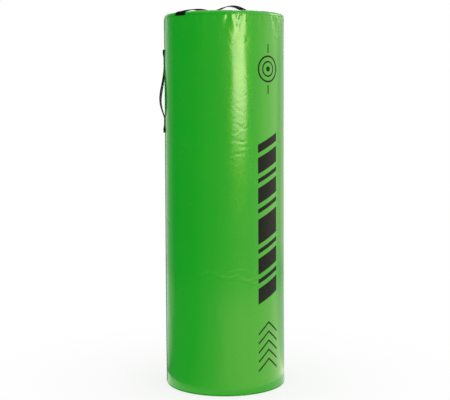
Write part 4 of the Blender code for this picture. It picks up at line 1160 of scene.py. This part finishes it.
def make_side_handle():
    """The webbing on the bag's side, with its folded and sewn tabs and its free bow."""
    low, high = (corner.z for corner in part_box("side_handle_strap"))
    bow_top, bow_bottom = high - SIDE_UPPER_TAB, low + SIDE_LOWER_TAB
    path = resample(side_handle_path(low, high, bow_bottom, bow_top), 0.0007)
    path = resample(rounded_line(path, 6), WEBBING_STEP)
    heights = path[:, 1:]
    share = np.clip((bow_top - heights) / (bow_top - bow_bottom), 0, 1)
    free = np.sin(math.pi * share) ** FREE_POWER
    ground = cover_points(WEST + STRAP_WIDTH / RADIUS, heights)
    relief = np.linalg.norm(ground[:, :, :2], axis=2) - LAP_RADIUS
    out = path[:, 0:1] + relief * (1 - free)
    rounded = np.sqrt(out ** 2 - STRAP_WIDTH ** 2)
    twist = SIDE_BOW_TWIST * np.sin(math.pi * share ** SIDE_BOW_TWIST_SKEW) ** SIDE_BOW_TWIST_EASE
    twist = twist - SIDE_BOW_SECOND_TWIST * np.sin(TURN * share)
    flat = out + STRAP_WIDTH * twist - SIDE_BOW_CUPPING * STRAP_WIDTH ** 2 * free
    out = rounded + (flat - rounded) * free
    sway = SIDE_BOW_SWAY * np.sin(math.pi * share) * np.sin(5 * share + 0.6)
    middle = np.stack(np.broadcast_arrays(-out, -(STRAP_WIDTH + sway), heights), axis=2)[:, ::-1]

    rows = np.arange(heights.argmin(), heights.argmax() - 1, -1)
    lines = box_with_cross(high - TAB_SEAM_OUTER, bow_top + TAB_SEAM_INNER)
    lines += box_with_cross(bow_bottom - TAB_SEAM_INNER, low + TAB_SEAM_OUTER)
    lines += [sewn_across(bow_top + TAB_SEAM_EXTRA), sewn_across(bow_bottom - TAB_SEAM_EXTRA)]
    known = (heights[rows, 0], rows)
    make_strap("side_handle", middle, line_length(path), lines, known)


def over_dome(start, end, rise, steps):
    """Places and heights along the top strap between two places on the dome, raised between them."""
    share = np.linspace(0, 1, steps)
    place = start + (end - start) * share
    ground = dome_height(place, under=-CLEARANCE - WEBBING_THICKNESS / 2)
    return np.stack([place, ground + rise * np.sin(math.pi * share) ** ARCH_EASE], axis=1)


def top_handle_path():
    """Places along the top strap's diagonal and heights: from seam to seam, puffed, tacked and arched."""
    lift = CLEARANCE + WEBBING_THICKNESS / 2
    reach = SHOULDER_RADIUS + lift
    half = TOP_TACK_LENGTH / 2
    rear_end = np.array([(RADIUS + lift - inset, TOP_SEAM + rise) for inset, rise in TOP_STRAP_ENDING])
    turned_over = (-SHOULDER_CENTRE_RADIUS, SHOULDER_CENTRE_HEIGHT)
    return np.vstack([
        rear_end * (-1, 1), arc(turned_over, reach, math.pi, math.pi - SHOULDER_ANGLE, 12),
        over_dome(-SHOULDER_CENTRE_RADIUS, TOP_FRONT_TACK - half, TOP_FRONT_PUFF_RISE, 40)[1:],
        over_dome(TOP_FRONT_TACK + half, TOP_REAR_TACK - half, TOP_ARCH_RISE, 60),
        over_dome(TOP_REAR_TACK + half, SHOULDER_CENTRE_RADIUS, TOP_REAR_PUFF_RISE, 20)[:-1],
        arc(SHOULDER_CENTRE, reach, SHOULDER_ANGLE, 0, 12), rear_end[::-1],
    ])


def along_top_strap(along, across, height):
    """Points given by places along and across the top strap's diagonal."""
    cosine, sine = math.cos(TOP_HEADING), math.sin(TOP_HEADING)
    x, y = along * cosine + across * sine, along * sine - across * cosine
    return np.stack(np.broadcast_arrays(x, y, height), axis=2)


def make_top_handle():
    """The webbing over the bag's top, caught in the top seam at both ends."""
    path = resample(rounded_line(resample(top_handle_path(), 0.0006), 8), WEBBING_STEP)
    place, height = path[:, 0:1], path[:, 1:2]
    near_rim = ease((np.abs(place) - TOP_RIM_CURVE_START) / TOP_RIM_CURVE_RUN)
    curved = np.sign(place) * np.sqrt(np.maximum(place ** 2 - STRAP_WIDTH ** 2, 0))
    arch_start = TOP_FRONT_TACK + TOP_TACK_LENGTH / 2
    arch_end = TOP_REAR_TACK - TOP_TACK_LENGTH / 2
    arch = np.clip((place - arch_start) / (arch_end - arch_start), 0, 1)
    free = np.sin(math.pi * arch)
    height = height + STRAP_WIDTH * TOP_ARCH_TWIST * np.cos(math.pi * arch) * free ** FREE_POWER
    height = height - STRAP_WIDTH ** 2 * (TOP_ARCH_CUPPING * free + 1 / (2 * DOME_RADIUS))
    middle = along_top_strap(place + (curved - place) * near_rim, STRAP_WIDTH, height)
    places = travelled(path)
    from_end = np.minimum(places, places[-1] - places)
    end_shares = STRAP_END_SHARE + (1 - STRAP_END_SHARE) * ease(from_end / STRAP_END_TAPER)
    lines = []
    for tack in (TOP_FRONT_TACK, TOP_REAR_TACK):
        start = tack - TOP_TACK_LENGTH / 2 + TACK_SEAM_INSET
        end = tack + TOP_TACK_LENGTH / 2 - TACK_SEAM_INSET
        lines += box_with_cross(start, end)
        lines += [sewn_across(start + TACK_SEAM_EXTRA), sewn_across(end - TACK_SEAM_EXTRA)]
    known = (path[:, 0], np.arange(len(path)))
    make_strap("top_handle", middle, line_length(path), lines, known, end_shares)


# Stitching

def make_stitches(name, seams, material):
    """Rows of stitches that dive into the cloth; a seam is a line of points and the way out at each."""
    places, outs = [], []
    for points, normals in seams:
        known = travelled(points)
        count = max(1, int(known[-1] / (STITCH_LENGTH + STITCH_GAP)))
        pitch = known[-1] / count
        starts = pitch * np.arange(count)[:, None] + STITCH_GAP / 2
        along = starts + (pitch - STITCH_GAP) * np.linspace(0, 1, STITCH_RINGS)
        places.append(read_off(points, known, along))
        outs.append(read_off(normals, known, along))
    place, out = np.concatenate(places), unit(np.concatenate(outs))
    side = np.cross(unit(np.gradient(place, axis=1)), out)
    centre = place + out * (THREAD_RADIUS * STITCH_RISE)[:, None]
    turns = ring_angles(THREAD_SIDES)[:, None]
    spokes = side[:, :, None] * np.cos(turns) + out[:, :, None] * np.sin(turns)
    points = centre[:, :, None] + spokes * (THREAD_RADIUS * STITCH_GIRTH)[:, None, None]
    size = STITCH_RINGS * THREAD_SIDES
    one = [tuple(face) for face in grid_faces(STITCH_RINGS, THREAD_SIDES, wrap_columns=True)]
    one += [range(THREAD_SIDES)[::-1], range(size - THREAD_SIDES, size)]
    faces = [[corner + stitch * size for corner in face] for stitch in range(len(place)) for face in one]
    return build_mesh(name, points, faces, points[..., :2], material, sharp_angle=75)


def make_lap_stitching():
    """Two rows of stitches down the lap; the second stops where the side handle's tabs cover it."""
    low, high = (corner.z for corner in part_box("side_handle_strap"))
    bottom, top = LAP_SEAM_ENDS
    beside_tabs = [(bottom, low - 0.003), (low + SIDE_LOWER_TAB, high - SIDE_UPPER_TAB), (high + 0.003, top)]
    seams = []
    for inset, stretches in zip(LAP_SEAM_INSETS, ([(bottom, top)], beside_tabs)):
        azimuth = WEST + LAP_WIDTH - inset / LAP_RADIUS
        for start, end in stretches:
            points = cover_points(azimuth, np.arange(start, end, 0.001))
            seams.append((points, np.tile(polar(1.0, azimuth, 0.0), (len(points), 1))))
    dress(make_stitches("lap_stitching", seams, GREEN_THREAD_FINISH), "root", "cover_pvc")


# Printed marks: a plain target, a ladder of slanted bars and a stack of chevrons

MARK_AZIMUTH = FRONT + math.radians(45)
MARK_HALF_WIDTH = 0.049
MARK_LIFT = 0.00016
MARK_THICKNESS = 0.00011
MARK_STEP = 0.0030
TARGET_HEIGHT = 1.188
# Radii of the edges of each ring of the target, and steps round it
TARGET_RINGS = [((0.049, 0.0425), 96), ((0.029, 0.0235), 72), ((0.0095,), 36)]
TICK_BOTTOMS = (1.246, 1.098)
TICK_HEIGHT = 0.032
LADDER_BOTTOM = 0.330
CHEVRON_BOTTOMS = (0.080, 0.114, 0.148, 0.182, 0.216)
CHEVRON_THICKNESS = 0.0075
TICK = [(-0.0025, 0), (0.0025, 0)]
SLANT = [(-MARK_HALF_WIDTH, 0), (MARK_HALF_WIDTH, 0.042)]
CHEVRON = [(-MARK_HALF_WIDTH, 0), (0, 0.040), (MARK_HALF_WIDTH, 0)]
# Thickness of each bar of the ladder and of the gap above it, from below
LADDER = [(0.058, 0.018), (0.016, 0.018), (0.058, 0.018), (0.016, 0.018), (0.092, 0.022),
          (0.016, 0.018), (0.058, 0.018), (0.016, 0.018), (0.058, 0.018), (0.030, 0.0)]


def circle(radius, steps):
    """A circle of the target on the unrolled cover."""
    return ring(radius, steps) + (0, TARGET_HEIGHT)


def band(line, bottom, thickness):
    """The outline of a band of ink over a line, with points close enough together to follow the cover."""
    lower = [(x, bottom + rise) for x, rise in line]
    corners = lower + [(x, height + thickness) for x, height in lower[::-1]]
    sides = [resample(side, MARK_STEP)[:-1] for side in zip(corners, corners[1:] + corners[:1])]
    return [np.vstack(sides)]


def printed_shapes():
    """Outlines with their holes, as arc lengths right of the print's middle and heights."""
    shapes = [[circle(radius, steps) for radius in radii] for radii, steps in TARGET_RINGS]
    shapes += [band(TICK, bottom, TICK_HEIGHT) for bottom in TICK_BOTTOMS]
    bottom = LADDER_BOTTOM
    for thickness, gap in LADDER:
        shapes.append(band(SLANT, bottom, thickness))
        bottom += thickness + gap
    return shapes + [band(CHEVRON, bottom, CHEVRON_THICKNESS) for bottom in CHEVRON_BOTTOMS]


def make_printed_marks():
    """Thin ink on the cover, in a plain pattern of the builder's own."""
    parts = []
    for loops in printed_shapes():
        flat, triangles = filled_shape(loops, MARK_STEP * 1.2)
        parts.append((at_height(flat, 0), triangles))
    flat, faces = join_parts(parts)
    points = cover_points(MARK_AZIMUTH + flat[:, 0] / RADIUS, flat[:, 1], MARK_LIFT)
    marks = build_mesh("printed_marks", points, faces, flat[:, :2], INK_FINISH)
    give_thickness(marks, MARK_THICKNESS)
    dress(marks, "root", "cover_pvc")


# Base closure

STRIP_EDGES = [0.5, 0.86, 1, 1, 1, 1, 1, 0.86, 0.5]


def flat_strip(name, low, high, material):
    """A soft strip of cloth along X, given by the corners of its box, with slightly rounded long edges."""
    x = np.linspace(low[0], high[0], 60)[:, None]
    y = np.linspace(low[1], high[1], len(STRIP_EDGES))
    waves = 0.04 * np.sin(x * 90 + y * 300)
    thickness = high[2] - low[2]
    level = (low[2] + high[2]) / 2 + waves * thickness * 0.5
    middle = np.stack(np.broadcast_arrays(x, y, level), axis=2)
    return thick_sheet(name, middle, thickness * STRIP_SHARE, material, STRIP_EDGES)


def flap_section():
    """Middle line of the hem and flap: along the pan's roof, down, round the fold and out to the edge."""
    hem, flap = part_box("flap_hem"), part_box("storm_flap")
    hinge = flap[0].y + FLAP_THICKNESS / 2
    roof = hem[1].z - FLAP_THICKNESS / 2
    level = (flap[0].z + flap[1].z) / 2
    bend = FLAP_FOLD_RADIUS
    section = resample(np.vstack([
        [(hem[1].y, roof), (hinge + 0.006, roof)],
        arc((hinge + bend, roof - bend), bend, math.pi / 2, math.pi, 5),
        arc((hinge + bend, level + bend), bend, math.pi, 3 * math.pi / 2, 6),
        [(hinge + 0.004, level), (flap[1].y, level)],
    ]), 0.0006)
    return np.vstack([section[:45], resample(section[44:], 0.0024)[1:]])


def seam_below(x, y, height):
    """A line of stitching whose stitches stand out downward."""
    points = np.stack(np.broadcast_arrays(x, y, height), axis=-1)
    return points, np.tile([0.0, 0.0, -1.0], (len(points), 1))


def make_flap():
    """The storm flap and its hem as one sheet that bends at its fold, with its stitching and strips."""
    flap, hook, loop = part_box("storm_flap"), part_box("hook_strip"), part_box("loop_strip")
    section = flap_section()
    x = np.linspace(flap[1].x, flap[0].x, 90)[:, None]
    beyond = ease((section[:, 0] - flap[0].y - 0.012) / 0.05)
    sag = (0.00022 * np.sin(x * 61 + 1.0) + 0.00012 * np.sin(x * 143)) * beyond
    middle = np.stack(np.broadcast_arrays(x, section[:, 0], section[:, 1] + sag), axis=2)
    shares = np.ones(len(section))
    shares[[0, -1]] = 0.6
    sheet = thick_sheet("storm_flap_sheet", middle, FLAP_THICKNESS * STRIP_SHARE, BASE_FINISH, shares)
    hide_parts("storm_flap", "flap_hem")
    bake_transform(sheet)
    cut_cloth(flap[1].x - flap[0].x, line_length(section))

    for name, (low, high), material, body, under in (
        ("hook", hook, HOOK_FINISH, "flap", "storm_flap"), ("loop", loop, LOOP_FINISH, "root", "base_panel"),
    ):
        tape = flat_strip(name + "_tape", low, high, material)
        dress(tape, body, "hook_and_loop", name + "_strip")
        cut_cloth(high.x - low.x, high.y - low.y)

    x = np.arange(flap[0].x + 0.005, flap[1].x - 0.005, 0.002)
    under_flap = flap[0].z + FLAP_THICKNESS * (1 - STRIP_SHARE) / 2 - FLAP_SEAM_DROP
    seam_lines = (hook[0].y + FLAP_EDGE_SEAM_INSET, hook[1].y - FLAP_EDGE_SEAM_INSET)
    seams = [seam_below(x, y, under_flap) for y in seam_lines]
    dress(make_stitches("flap_stitching", seams, GREEN_THREAD_FINISH), "flap", "base_pvc")

    under_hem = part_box("flap_hem")[1].z - FLAP_THICKNESS
    seams = [seam_below(x, flap[0].y + inset, under_hem) for inset in HEM_SEAM_INSETS]
    for margin in SLOT_SEAM_MARGINS:
        line = slot_loop(margin, 0.003)
        line = resample(np.vstack([line, line[:1]]), 0.002)
        seams.append(seam_below(line[:, 0], line[:, 1], PAN_DEPTH))
    dress(make_stitches("zip_stitching", seams, GREEN_THREAD_FINISH), "root", "base_pvc")


def make_zip_tapes():
    """The two woven tapes of the zip."""
    for side in ("front", "rear"):
        low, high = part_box("zip_tape_" + side)
        tape = flat_strip("zip_tape_cloth_" + side, low, high, TAPE_FINISH)
        dress(tape, "root", "zip_tape", "zip_tape_" + side)
        cut_cloth(high.x - low.x, high.y - low.y)


# Filling and what lies hidden in the cover

def rounded_section(inner, outer, low, high, edge):
    """A rectangle of radius and height with softened corners, which stops at the axis where inner is 0."""
    left = [(0, high), (0, low)]
    if inner > 0:
        left = [(inner + edge, high), (inner, high - edge), (inner, low + edge), (inner + edge, low)]
    lower = arc((outer - edge, low + edge), edge, -math.pi / 2, 0, 4)
    upper = arc((outer - edge, high - edge), edge, 0, math.pi / 2, 4)
    return np.vstack([lower, upper, left])


def make_foam():
    """The firm core, and the two softer sheets that are rolled round it, each with a slit where it meets."""
    core, inner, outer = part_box("firm_core"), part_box("soft_sleeve_inner"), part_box("soft_sleeve_outer")
    section = rounded_section(0, core[1].x - FOAM_GAP, core[0].z, core[1].z, 0.003)
    dress(turned("core_filling", section, CORE_FINISH), "root", "core_foam", "firm_core", fill=1.0)
    for name, box, hole, reach, heading in (
        ("inner", inner, core[1].x + FOAM_GAP, inner[1].x - FOAM_GAP, -30),
        ("outer", outer, inner[1].x + FOAM_GAP, RADIUS - FOAM_UNDER_COVER, 60),
    ):
        slit = SLEEVE_SLIT / reach
        section = rounded_section(hole, reach, box[0].z, box[1].z, 0.004)
        start, sweep = math.radians(heading) + slit, TURN - 2 * slit
        piece = turned("sleeve_filling_" + name, section, SOFT_FINISH, start, sweep)
        dress(piece, "root", "soft_foam", "soft_sleeve_" + name, fill=0.9)


def make_top_pad():
    """The foam disc under the dome, hollowed round the seam allowances."""
    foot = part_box("top_pad")[0].z
    radii = np.linspace(CROWN_REACH, 0, 14)
    rim = RADIUS - PAD_UNDER_COVER - PAD_EDGE
    section = np.vstack([
        np.stack([radii, dome_height(radii, CROWN_UNDER_DOME)], axis=1),
        [(RADIUS - SEAM_HOLLOW - 0.0035, TOP_SEAM + 0.008), (RADIUS - SEAM_HOLLOW, TOP_SEAM + 0.004)],
        [(RADIUS - SEAM_HOLLOW, TOP_SEAM - 0.006)],
        arc((rim, TOP_SEAM - 0.008 - PAD_EDGE), PAD_EDGE, math.pi / 2, 0, 5),
        arc((rim, foot + PAD_EDGE), PAD_EDGE, 0, -math.pi / 2, 4), [(0, foot)],
    ])[::-1]
    dress(turned("top_pad_filling", section, SOFT_FINISH), "root", "soft_foam", "top_pad", fill=0.9)


def make_base_pad():
    """The foam disc over the base, hollowed over the pan and the slider's way."""
    low, high = (corner.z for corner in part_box("base_pad"))
    columns = 160
    pocket = pan_loop(-POCKET_MARGIN)
    step = RADIUS - BASE_PAD_STEPS[0][0]
    rim = RADIUS - PAD_UNDER_COVER - PAD_EDGE
    profile = np.vstack([
        [(step, low)], [(RADIUS - inset, height) for inset, height in BASE_PAD_STEPS],
        arc((rim, high - PAD_EDGE), PAD_EDGE, 0, math.pi / 2, 4),
    ])
    rim_faces = list(grid_faces(len(profile), columns, wrap_columns=True))
    rim_faces.append(range((len(profile) - 1) * columns, len(profile) * columns))
    under_points, under_faces = filled_shape([ring(step, columns), pocket])
    count = len(pocket)
    wall_points = np.vstack([at_height(pocket, low), at_height(pocket, POCKET_HEIGHT)])
    wall_faces = list(grid_faces(2, count, wrap_columns=True)[:, ::-1]) + [range(count, 2 * count)[::-1]]
    points, faces = join_parts([
        (stacked_rings(profile, columns), rim_faces), (at_height(under_points, low), under_faces[:, ::-1]),
        (wall_points, wall_faces),
    ])
    piece = build_mesh("base_pad_filling", points, faces, points[:, :2], SOFT_FINISH)
    merge_points(piece)
    dress(piece, "root", "soft_foam", "base_pad", fill=0.9)


def make_bindings():
    """The tapes folded round the raw edges of the two seams inside the cover."""
    for name, seam, below in (("top", TOP_SEAM, COVER_SHEET), ("base", BASE_SEAM, BASE_SHEET)):
        room = 1.5 * CLEARANCE + BINDING_THICKNESS / 2
        low, high = seam - below - room, seam + COVER_SHEET + room
        back = ALLOWANCE_EDGE - CLEARANCE - BINDING_THICKNESS / 2
        edge = back + BINDING_FOLD
        path = resample([(edge, low), (back, low), (back, high), (edge, high)], 0.0004)
        path = resample(rounded_line(path), 0.0005)
        angles = -ring_angles(180)[:, None]
        waver = 1 + 0.0004 * np.sin(angles * 23) * ease((path[:, 0] - back) / ((high - low) / 2))
        middle = polar(path[:, 0] * waver, angles, path[:, 1])
        piece = thick_sheet(name + "_binding_tape", middle, BINDING_THICKNESS, BINDING_FINISH, closed=True)
        dress(piece, "root", "binding", name + "_seam_binding")
        cut_cloth(TURN * (back + edge) / 2, line_length(path))


def make_patches():
    """The backing behind the sewn ends of the two handles."""
    spread = np.linspace(-TOP_PATCH_HALF, TOP_PATCH_HALF, 12)
    for name, tack in (("front", TOP_FRONT_TACK), ("rear", TOP_REAR_TACK)):
        along, across = np.meshgrid(tack + spread, spread, indexing="ij")
        height = dome_height(np.hypot(along, across), COVER_SHEET + TOP_PATCH_DEPTH)
        middle = along_top_strap(along, across, height)
        piece = thick_sheet("top_backing_" + name, middle, PATCH_THICKNESS, BACKING_FINISH)
        dress(piece, "root", "backing", "top_handle_" + name + "_patch")
        cut_cloth(np.ptp(spread), np.ptp(spread))
    for name in ("upper", "lower"):
        low, high = (corner.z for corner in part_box("side_handle_" + name + "_patch"))
        radius = RADIUS - COVER_SHEET - SIDE_PATCH_DEPTH
        degrees = np.linspace(-SIDE_PATCH_HALF_ANGLE, SIDE_PATCH_HALF_ANGLE, 14)[:, None]
        azimuth = WEST + np.radians(degrees)
        middle = polar(radius, azimuth, np.linspace(low, high, 16))
        piece = thick_sheet("side_backing_" + name, middle, PATCH_THICKNESS, BACKING_FINISH)
        dress(piece, "root", "backing", "side_handle_" + name + "_patch")
        cut_cloth(radius * np.ptp(azimuth), high - low)


def finish_hard_nodes():
    """Give the zip's own moulded and metal parts their finish, with slightly broken edges."""
    moulded = ("teeth_front", "teeth_rear", "bottom_stop", "top_stop_front", "top_stop_rear")
    for name in moulded + ("slider", "pull"):
        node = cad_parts["zip_" + name]
        for place in node.material_slots:
            place.material = TEETH_FINISH if name in moulded else METAL_FINISH
        bevel = node.modifiers.new("broken_edges", "BEVEL")
        bevel.width = BROKEN_EDGE
        bevel.segments = 2
        bevel.limit_method = "ANGLE"
        bevel.angle_limit = math.radians(40)


make_side_sheet()
make_top_sheet()
make_base_sheet()
make_side_handle()
make_top_handle()
make_lap_stitching()
make_printed_marks()
make_flap()
make_zip_tapes()
make_foam()
make_top_pad()
make_base_pad()
make_bindings()
make_patches()
finish_hard_nodes()


# Camera

def make_camera():
    """The camera at the photograph's place, with its picture shifted as the photograph is framed."""
    data = bpy.data.cameras.new("camera")
    data.sensor_fit = "HORIZONTAL"
    data.sensor_width = SENSOR_WIDTH
    data.lens = FOCAL_LENGTH_PIXELS / PICTURE_WIDTH * SENSOR_WIDTH
    data.shift_x = (PICTURE_WIDTH / 2 - OPTICAL_AXIS_X) / PICTURE_WIDTH
    data.shift_y = -(PICTURE_HEIGHT / 2 - OPTICAL_AXIS_Y) / PICTURE_WIDTH
    camera = bpy.data.objects.new("camera", data)
    pitch = Matrix.Rotation(math.pi / 2 - CAMERA_PITCH, 4, "X")
    roll = Matrix.Rotation(CAMERA_ROLL, 4, "Z")
    camera.matrix_world = Matrix.Translation((0, -CAMERA_DISTANCE, CAMERA_HEIGHT)) @ pitch @ roll
    bpy.context.scene.collection.objects.link(camera)
    bpy.context.scene.camera = camera


make_camera()


# Floor, background and studio light

FLOOR_DROP = 0.0005
FLOOR_RINGS = [0.6, 1.2, 2.5, 6.0, 20.0, 60.0]
# Distances from the bag between which the floor turns white, and how white it is at each
FLOOR_WHITENING = (0.35, 1.1, 0.72, 1.0)
STUDIO_RADIUS = 1.7
SOFTBOX_DISTANCE = 2.3
SHEET_START = 0.30
SHEET_END = 3.0
WHITE = (1, 1, 1, 1)
LIGHT_LEVEL = 1.0
BACKGROUND_LEVEL = 1.0
WARM_WHITE = (1.0, 0.86, 0.55, 1)
# Softboxes: name, degrees right of front, half spread, heights of foot, full light and top, colour, light
SOFTBOXES = [
    ("main_softbox", 27.5, 17, (0.62, 1.19, 1.85), WHITE, 12.5),
    ("right_softbox", 108, 62, (0.0, 0.3, 3.0), WARM_WHITE, 0.9),
    ("rear_softbox", 180, 17, (0.45, 1.0, 1.85), WHITE, 7.0),
    ("upper_softbox", 118, 22, (1.54, 1.68, 2.9), WHITE, 4.0),
]
# How thick the dark curtain is, by degrees right of the front: its hanging part, and its foot on the floor
CURTAIN_THICKNESS = [
    (-160, 0.0, 0.0), (-143, 0.35, 0.15), (-124, 0.75, 0.50), (-106, 1.0, 0.90), (-60, 1.0, 0.90),
    (-24, 0.78, 0.50), (5, 0.55, 0.15), (32, 0.20, 0.0), (60, 0.0, 0.0), (105, 0.0, 0.0), (122, 0.60, 0.45),
    (145, 0.55, 0.40), (165, 0.0, 0.0),
]


def hide_from(piece, *kinds):
    """Keep some kinds of rays from meeting a piece of the studio."""
    for kind in kinds:
        setattr(piece, "visible_" + kind, False)


def seen_share(tree):
    """1 for what the camera sees directly, through something or in a reflection, 0 otherwise."""
    path = tree.nodes.new("ShaderNodeLightPath").outputs
    direct = Value(path["Is Camera Ray"]).math("MAXIMUM", path["Is Transmission Ray"])
    return direct.math("MAXIMUM", path["Is Glossy Ray"])


def make_floor():
    """A plain pale floor that keeps the bag's shadow, is white further out and clear from below."""
    columns = 64
    faces = list(grid_faces(len(FLOOR_RINGS), columns, wrap_columns=True)[:, ::-1]) + [range(columns)]
    material, tree = new_material("pale_floor")
    shader = tree.nodes["Principled BSDF"]
    feed(shader, {"Base Color": (0.92, 0.92, 0.92, 1), "Roughness": 0.9, "Specular IOR Level": 0.0})
    place = Value(tree.nodes.new("ShaderNodeTexCoord").outputs["Object"])
    away = place.through("ShaderNodeVectorMath", {0: place}, "Value", operation="LENGTH")
    whitened = seen_share(tree) * away.ranged(*FLOOR_WHITENING)
    white = shader_from(tree, "ShaderNodeEmission", {"Color": WHITE, "Strength": 1.0})
    above = shader_from(tree, "ShaderNodeMixShader", {0: whitened, 1: shader.outputs[0], 2: white})
    below = shader_from(tree, "ShaderNodeBsdfTransparent")
    underneath = tree.nodes.new("ShaderNodeNewGeometry").outputs["Backfacing"]
    both = shader_from(tree, "ShaderNodeMixShader", {0: underneath, 1: above, 2: below})
    feed(tree.nodes["Material Output"], {"Surface": both})
    rings = [(radius, -FLOOR_DROP) for radius in FLOOR_RINGS]
    floor = build_mesh("floor", stacked_rings(rings, columns), faces, None, material)
    hide_from(floor, "diffuse", "shadow")


def make_world():
    """Even white light from all round, and a plain white background that the gloss shows too."""
    world = bpy.data.worlds.new("studio")
    bpy.context.scene.world = world
    world.use_nodes = True
    tree = world.node_tree
    tree.nodes.clear()
    level = seen_share(tree).ranged(0.0, 1.0, LIGHT_LEVEL, BACKGROUND_LEVEL)
    even = shader_from(tree, "ShaderNodeBackground", {"Color": WHITE, "Strength": level})
    add(tree, "ShaderNodeOutputWorld", {"Surface": even})


def make_lamp(name, place, aim, size, power):
    """A soft square white lamp."""
    data = bpy.data.lights.new(name, "AREA")
    data.shape = "RECTANGLE"
    data.size = size
    data.size_y = size
    data.energy = power
    data.color = WHITE[:3]
    lamp = bpy.data.objects.new(name, data)
    lamp.location = place
    lamp.rotation_euler = (Vector(aim) - Vector(place)).to_track_quat("-Z", "Y").to_euler()
    hide_from(lamp, "glossy", "camera")
    bpy.context.scene.collection.objects.link(lamp)


def card_material(name):
    """An empty card material, its tree and its flat coordinates."""
    material, tree = new_material(name)
    tree.nodes.clear()
    across, along = Value(tree.nodes.new("ShaderNodeTexCoord").outputs["UV"]).axes()
    return material, tree, across, along


def studio_card(name, angles, rows, material):
    """A card of the studio on rows of radius, height and place along it, which only the gloss sees."""
    radius, height, along = np.array(rows, dtype=float).T[:, :, None]
    points = polar(radius, FRONT + np.radians(angles), height)
    uv = np.stack(np.broadcast_arrays(angles / 360 + 0.5, along), axis=-1)
    card = build_mesh(name, points, grid_faces(*points.shape[:2]), uv, material)
    hide_from(card, "camera", "diffuse", "shadow", "transmission")


def make_glow_card(name, middle, spread, steps, rows, fades, colour, strength):
    """A card that adds light to the gloss; fades say how full it is across, and where it fades along."""
    material, tree, across, along = card_material(name)
    full, dark, bright = fades
    side = (across - (middle / 360 + 0.5)).math("ABSOLUTE")
    light = side.soft_step(spread / 360, full * spread / 360, strength) * along.soft_step(dark, bright)
    glow = shader_from(tree, "ShaderNodeEmission", {"Color": colour, "Strength": light})
    clear = shader_from(tree, "ShaderNodeBsdfTransparent")
    both = shader_from(tree, "ShaderNodeAddShader", {0: glow, 1: clear})
    add(tree, "ShaderNodeOutputMaterial", {"Surface": both})
    studio_card(name, np.linspace(middle - spread, middle + spread, steps), rows, material)


def make_light_cards():
    """Tall curved softboxes, and a pale reflector sheet lying on the floor."""
    for name, middle, spread, (foot, full, top), colour, strength in SOFTBOXES:
        rows = [(SOFTBOX_DISTANCE, height, height) for height in np.linspace(foot, top, 9)]
        make_glow_card(name, middle, spread, 25, rows, (0.35, foot, full), colour, strength)
    rows = [(radius, 0.003, radius) for radius in np.linspace(SHEET_START, SHEET_END, 12)]
    make_glow_card("floor_reflector", 60, 100, 40, rows, (0.40, SHEET_END, 1.5), WARM_WHITE, 0.9)


def make_dark_curtain():
    """A dark gauze curtain with a foot on the floor, thickest at the left, that keeps white off the gloss."""
    material, tree, across, along = card_material("dark_curtain")
    thickness = []
    for index in (1, 2):
        node = add(tree, "ShaderNodeValToRGB", {"Fac": across})
        node.color_ramp.interpolation = "EASE"
        stops = node.color_ramp.elements
        for count, row in enumerate(CURTAIN_THICKNESS):
            place = row[0] / 360 + 0.5
            stop = stops[count] if count < 2 else stops.new(place)
            stop.position = place
            stop.color = (row[index], row[index], row[index], 1)
        thickness.append(node.outputs["Color"])
    share = along.soft_step(1.0, 1.25).colour_between(thickness[1], thickness[0])
    clear = shader_from(tree, "ShaderNodeBsdfTransparent")
    dark = shader_from(tree, "ShaderNodeEmission", {"Color": (0, 0, 0, 1), "Strength": 0.0})
    gauze = shader_from(tree, "ShaderNodeMixShader", {0: share, 1: clear, 2: dark})
    add(tree, "ShaderNodeOutputMaterial", {"Surface": gauze})
    foot = [(SHEET_START + share * (STUDIO_RADIUS - SHEET_START), 0.004, share)
            for share in np.linspace(0, 1, 8)]
    cloth = [(STUDIO_RADIUS, height, 1 + height) for height in np.linspace(0.02, 3.2, 14)]
    studio_card("dark_curtain", np.linspace(-160, 165, 120), foot + cloth, material)


make_floor()
make_world()
make_light_cards()
make_dark_curtain()
make_lamp("key_lamp", (1.9, -2.3, 2.6), (0, 0, 0.7), 1.8, 8.0)

bpy.context.scene.view_settings.view_transform = "Standard"
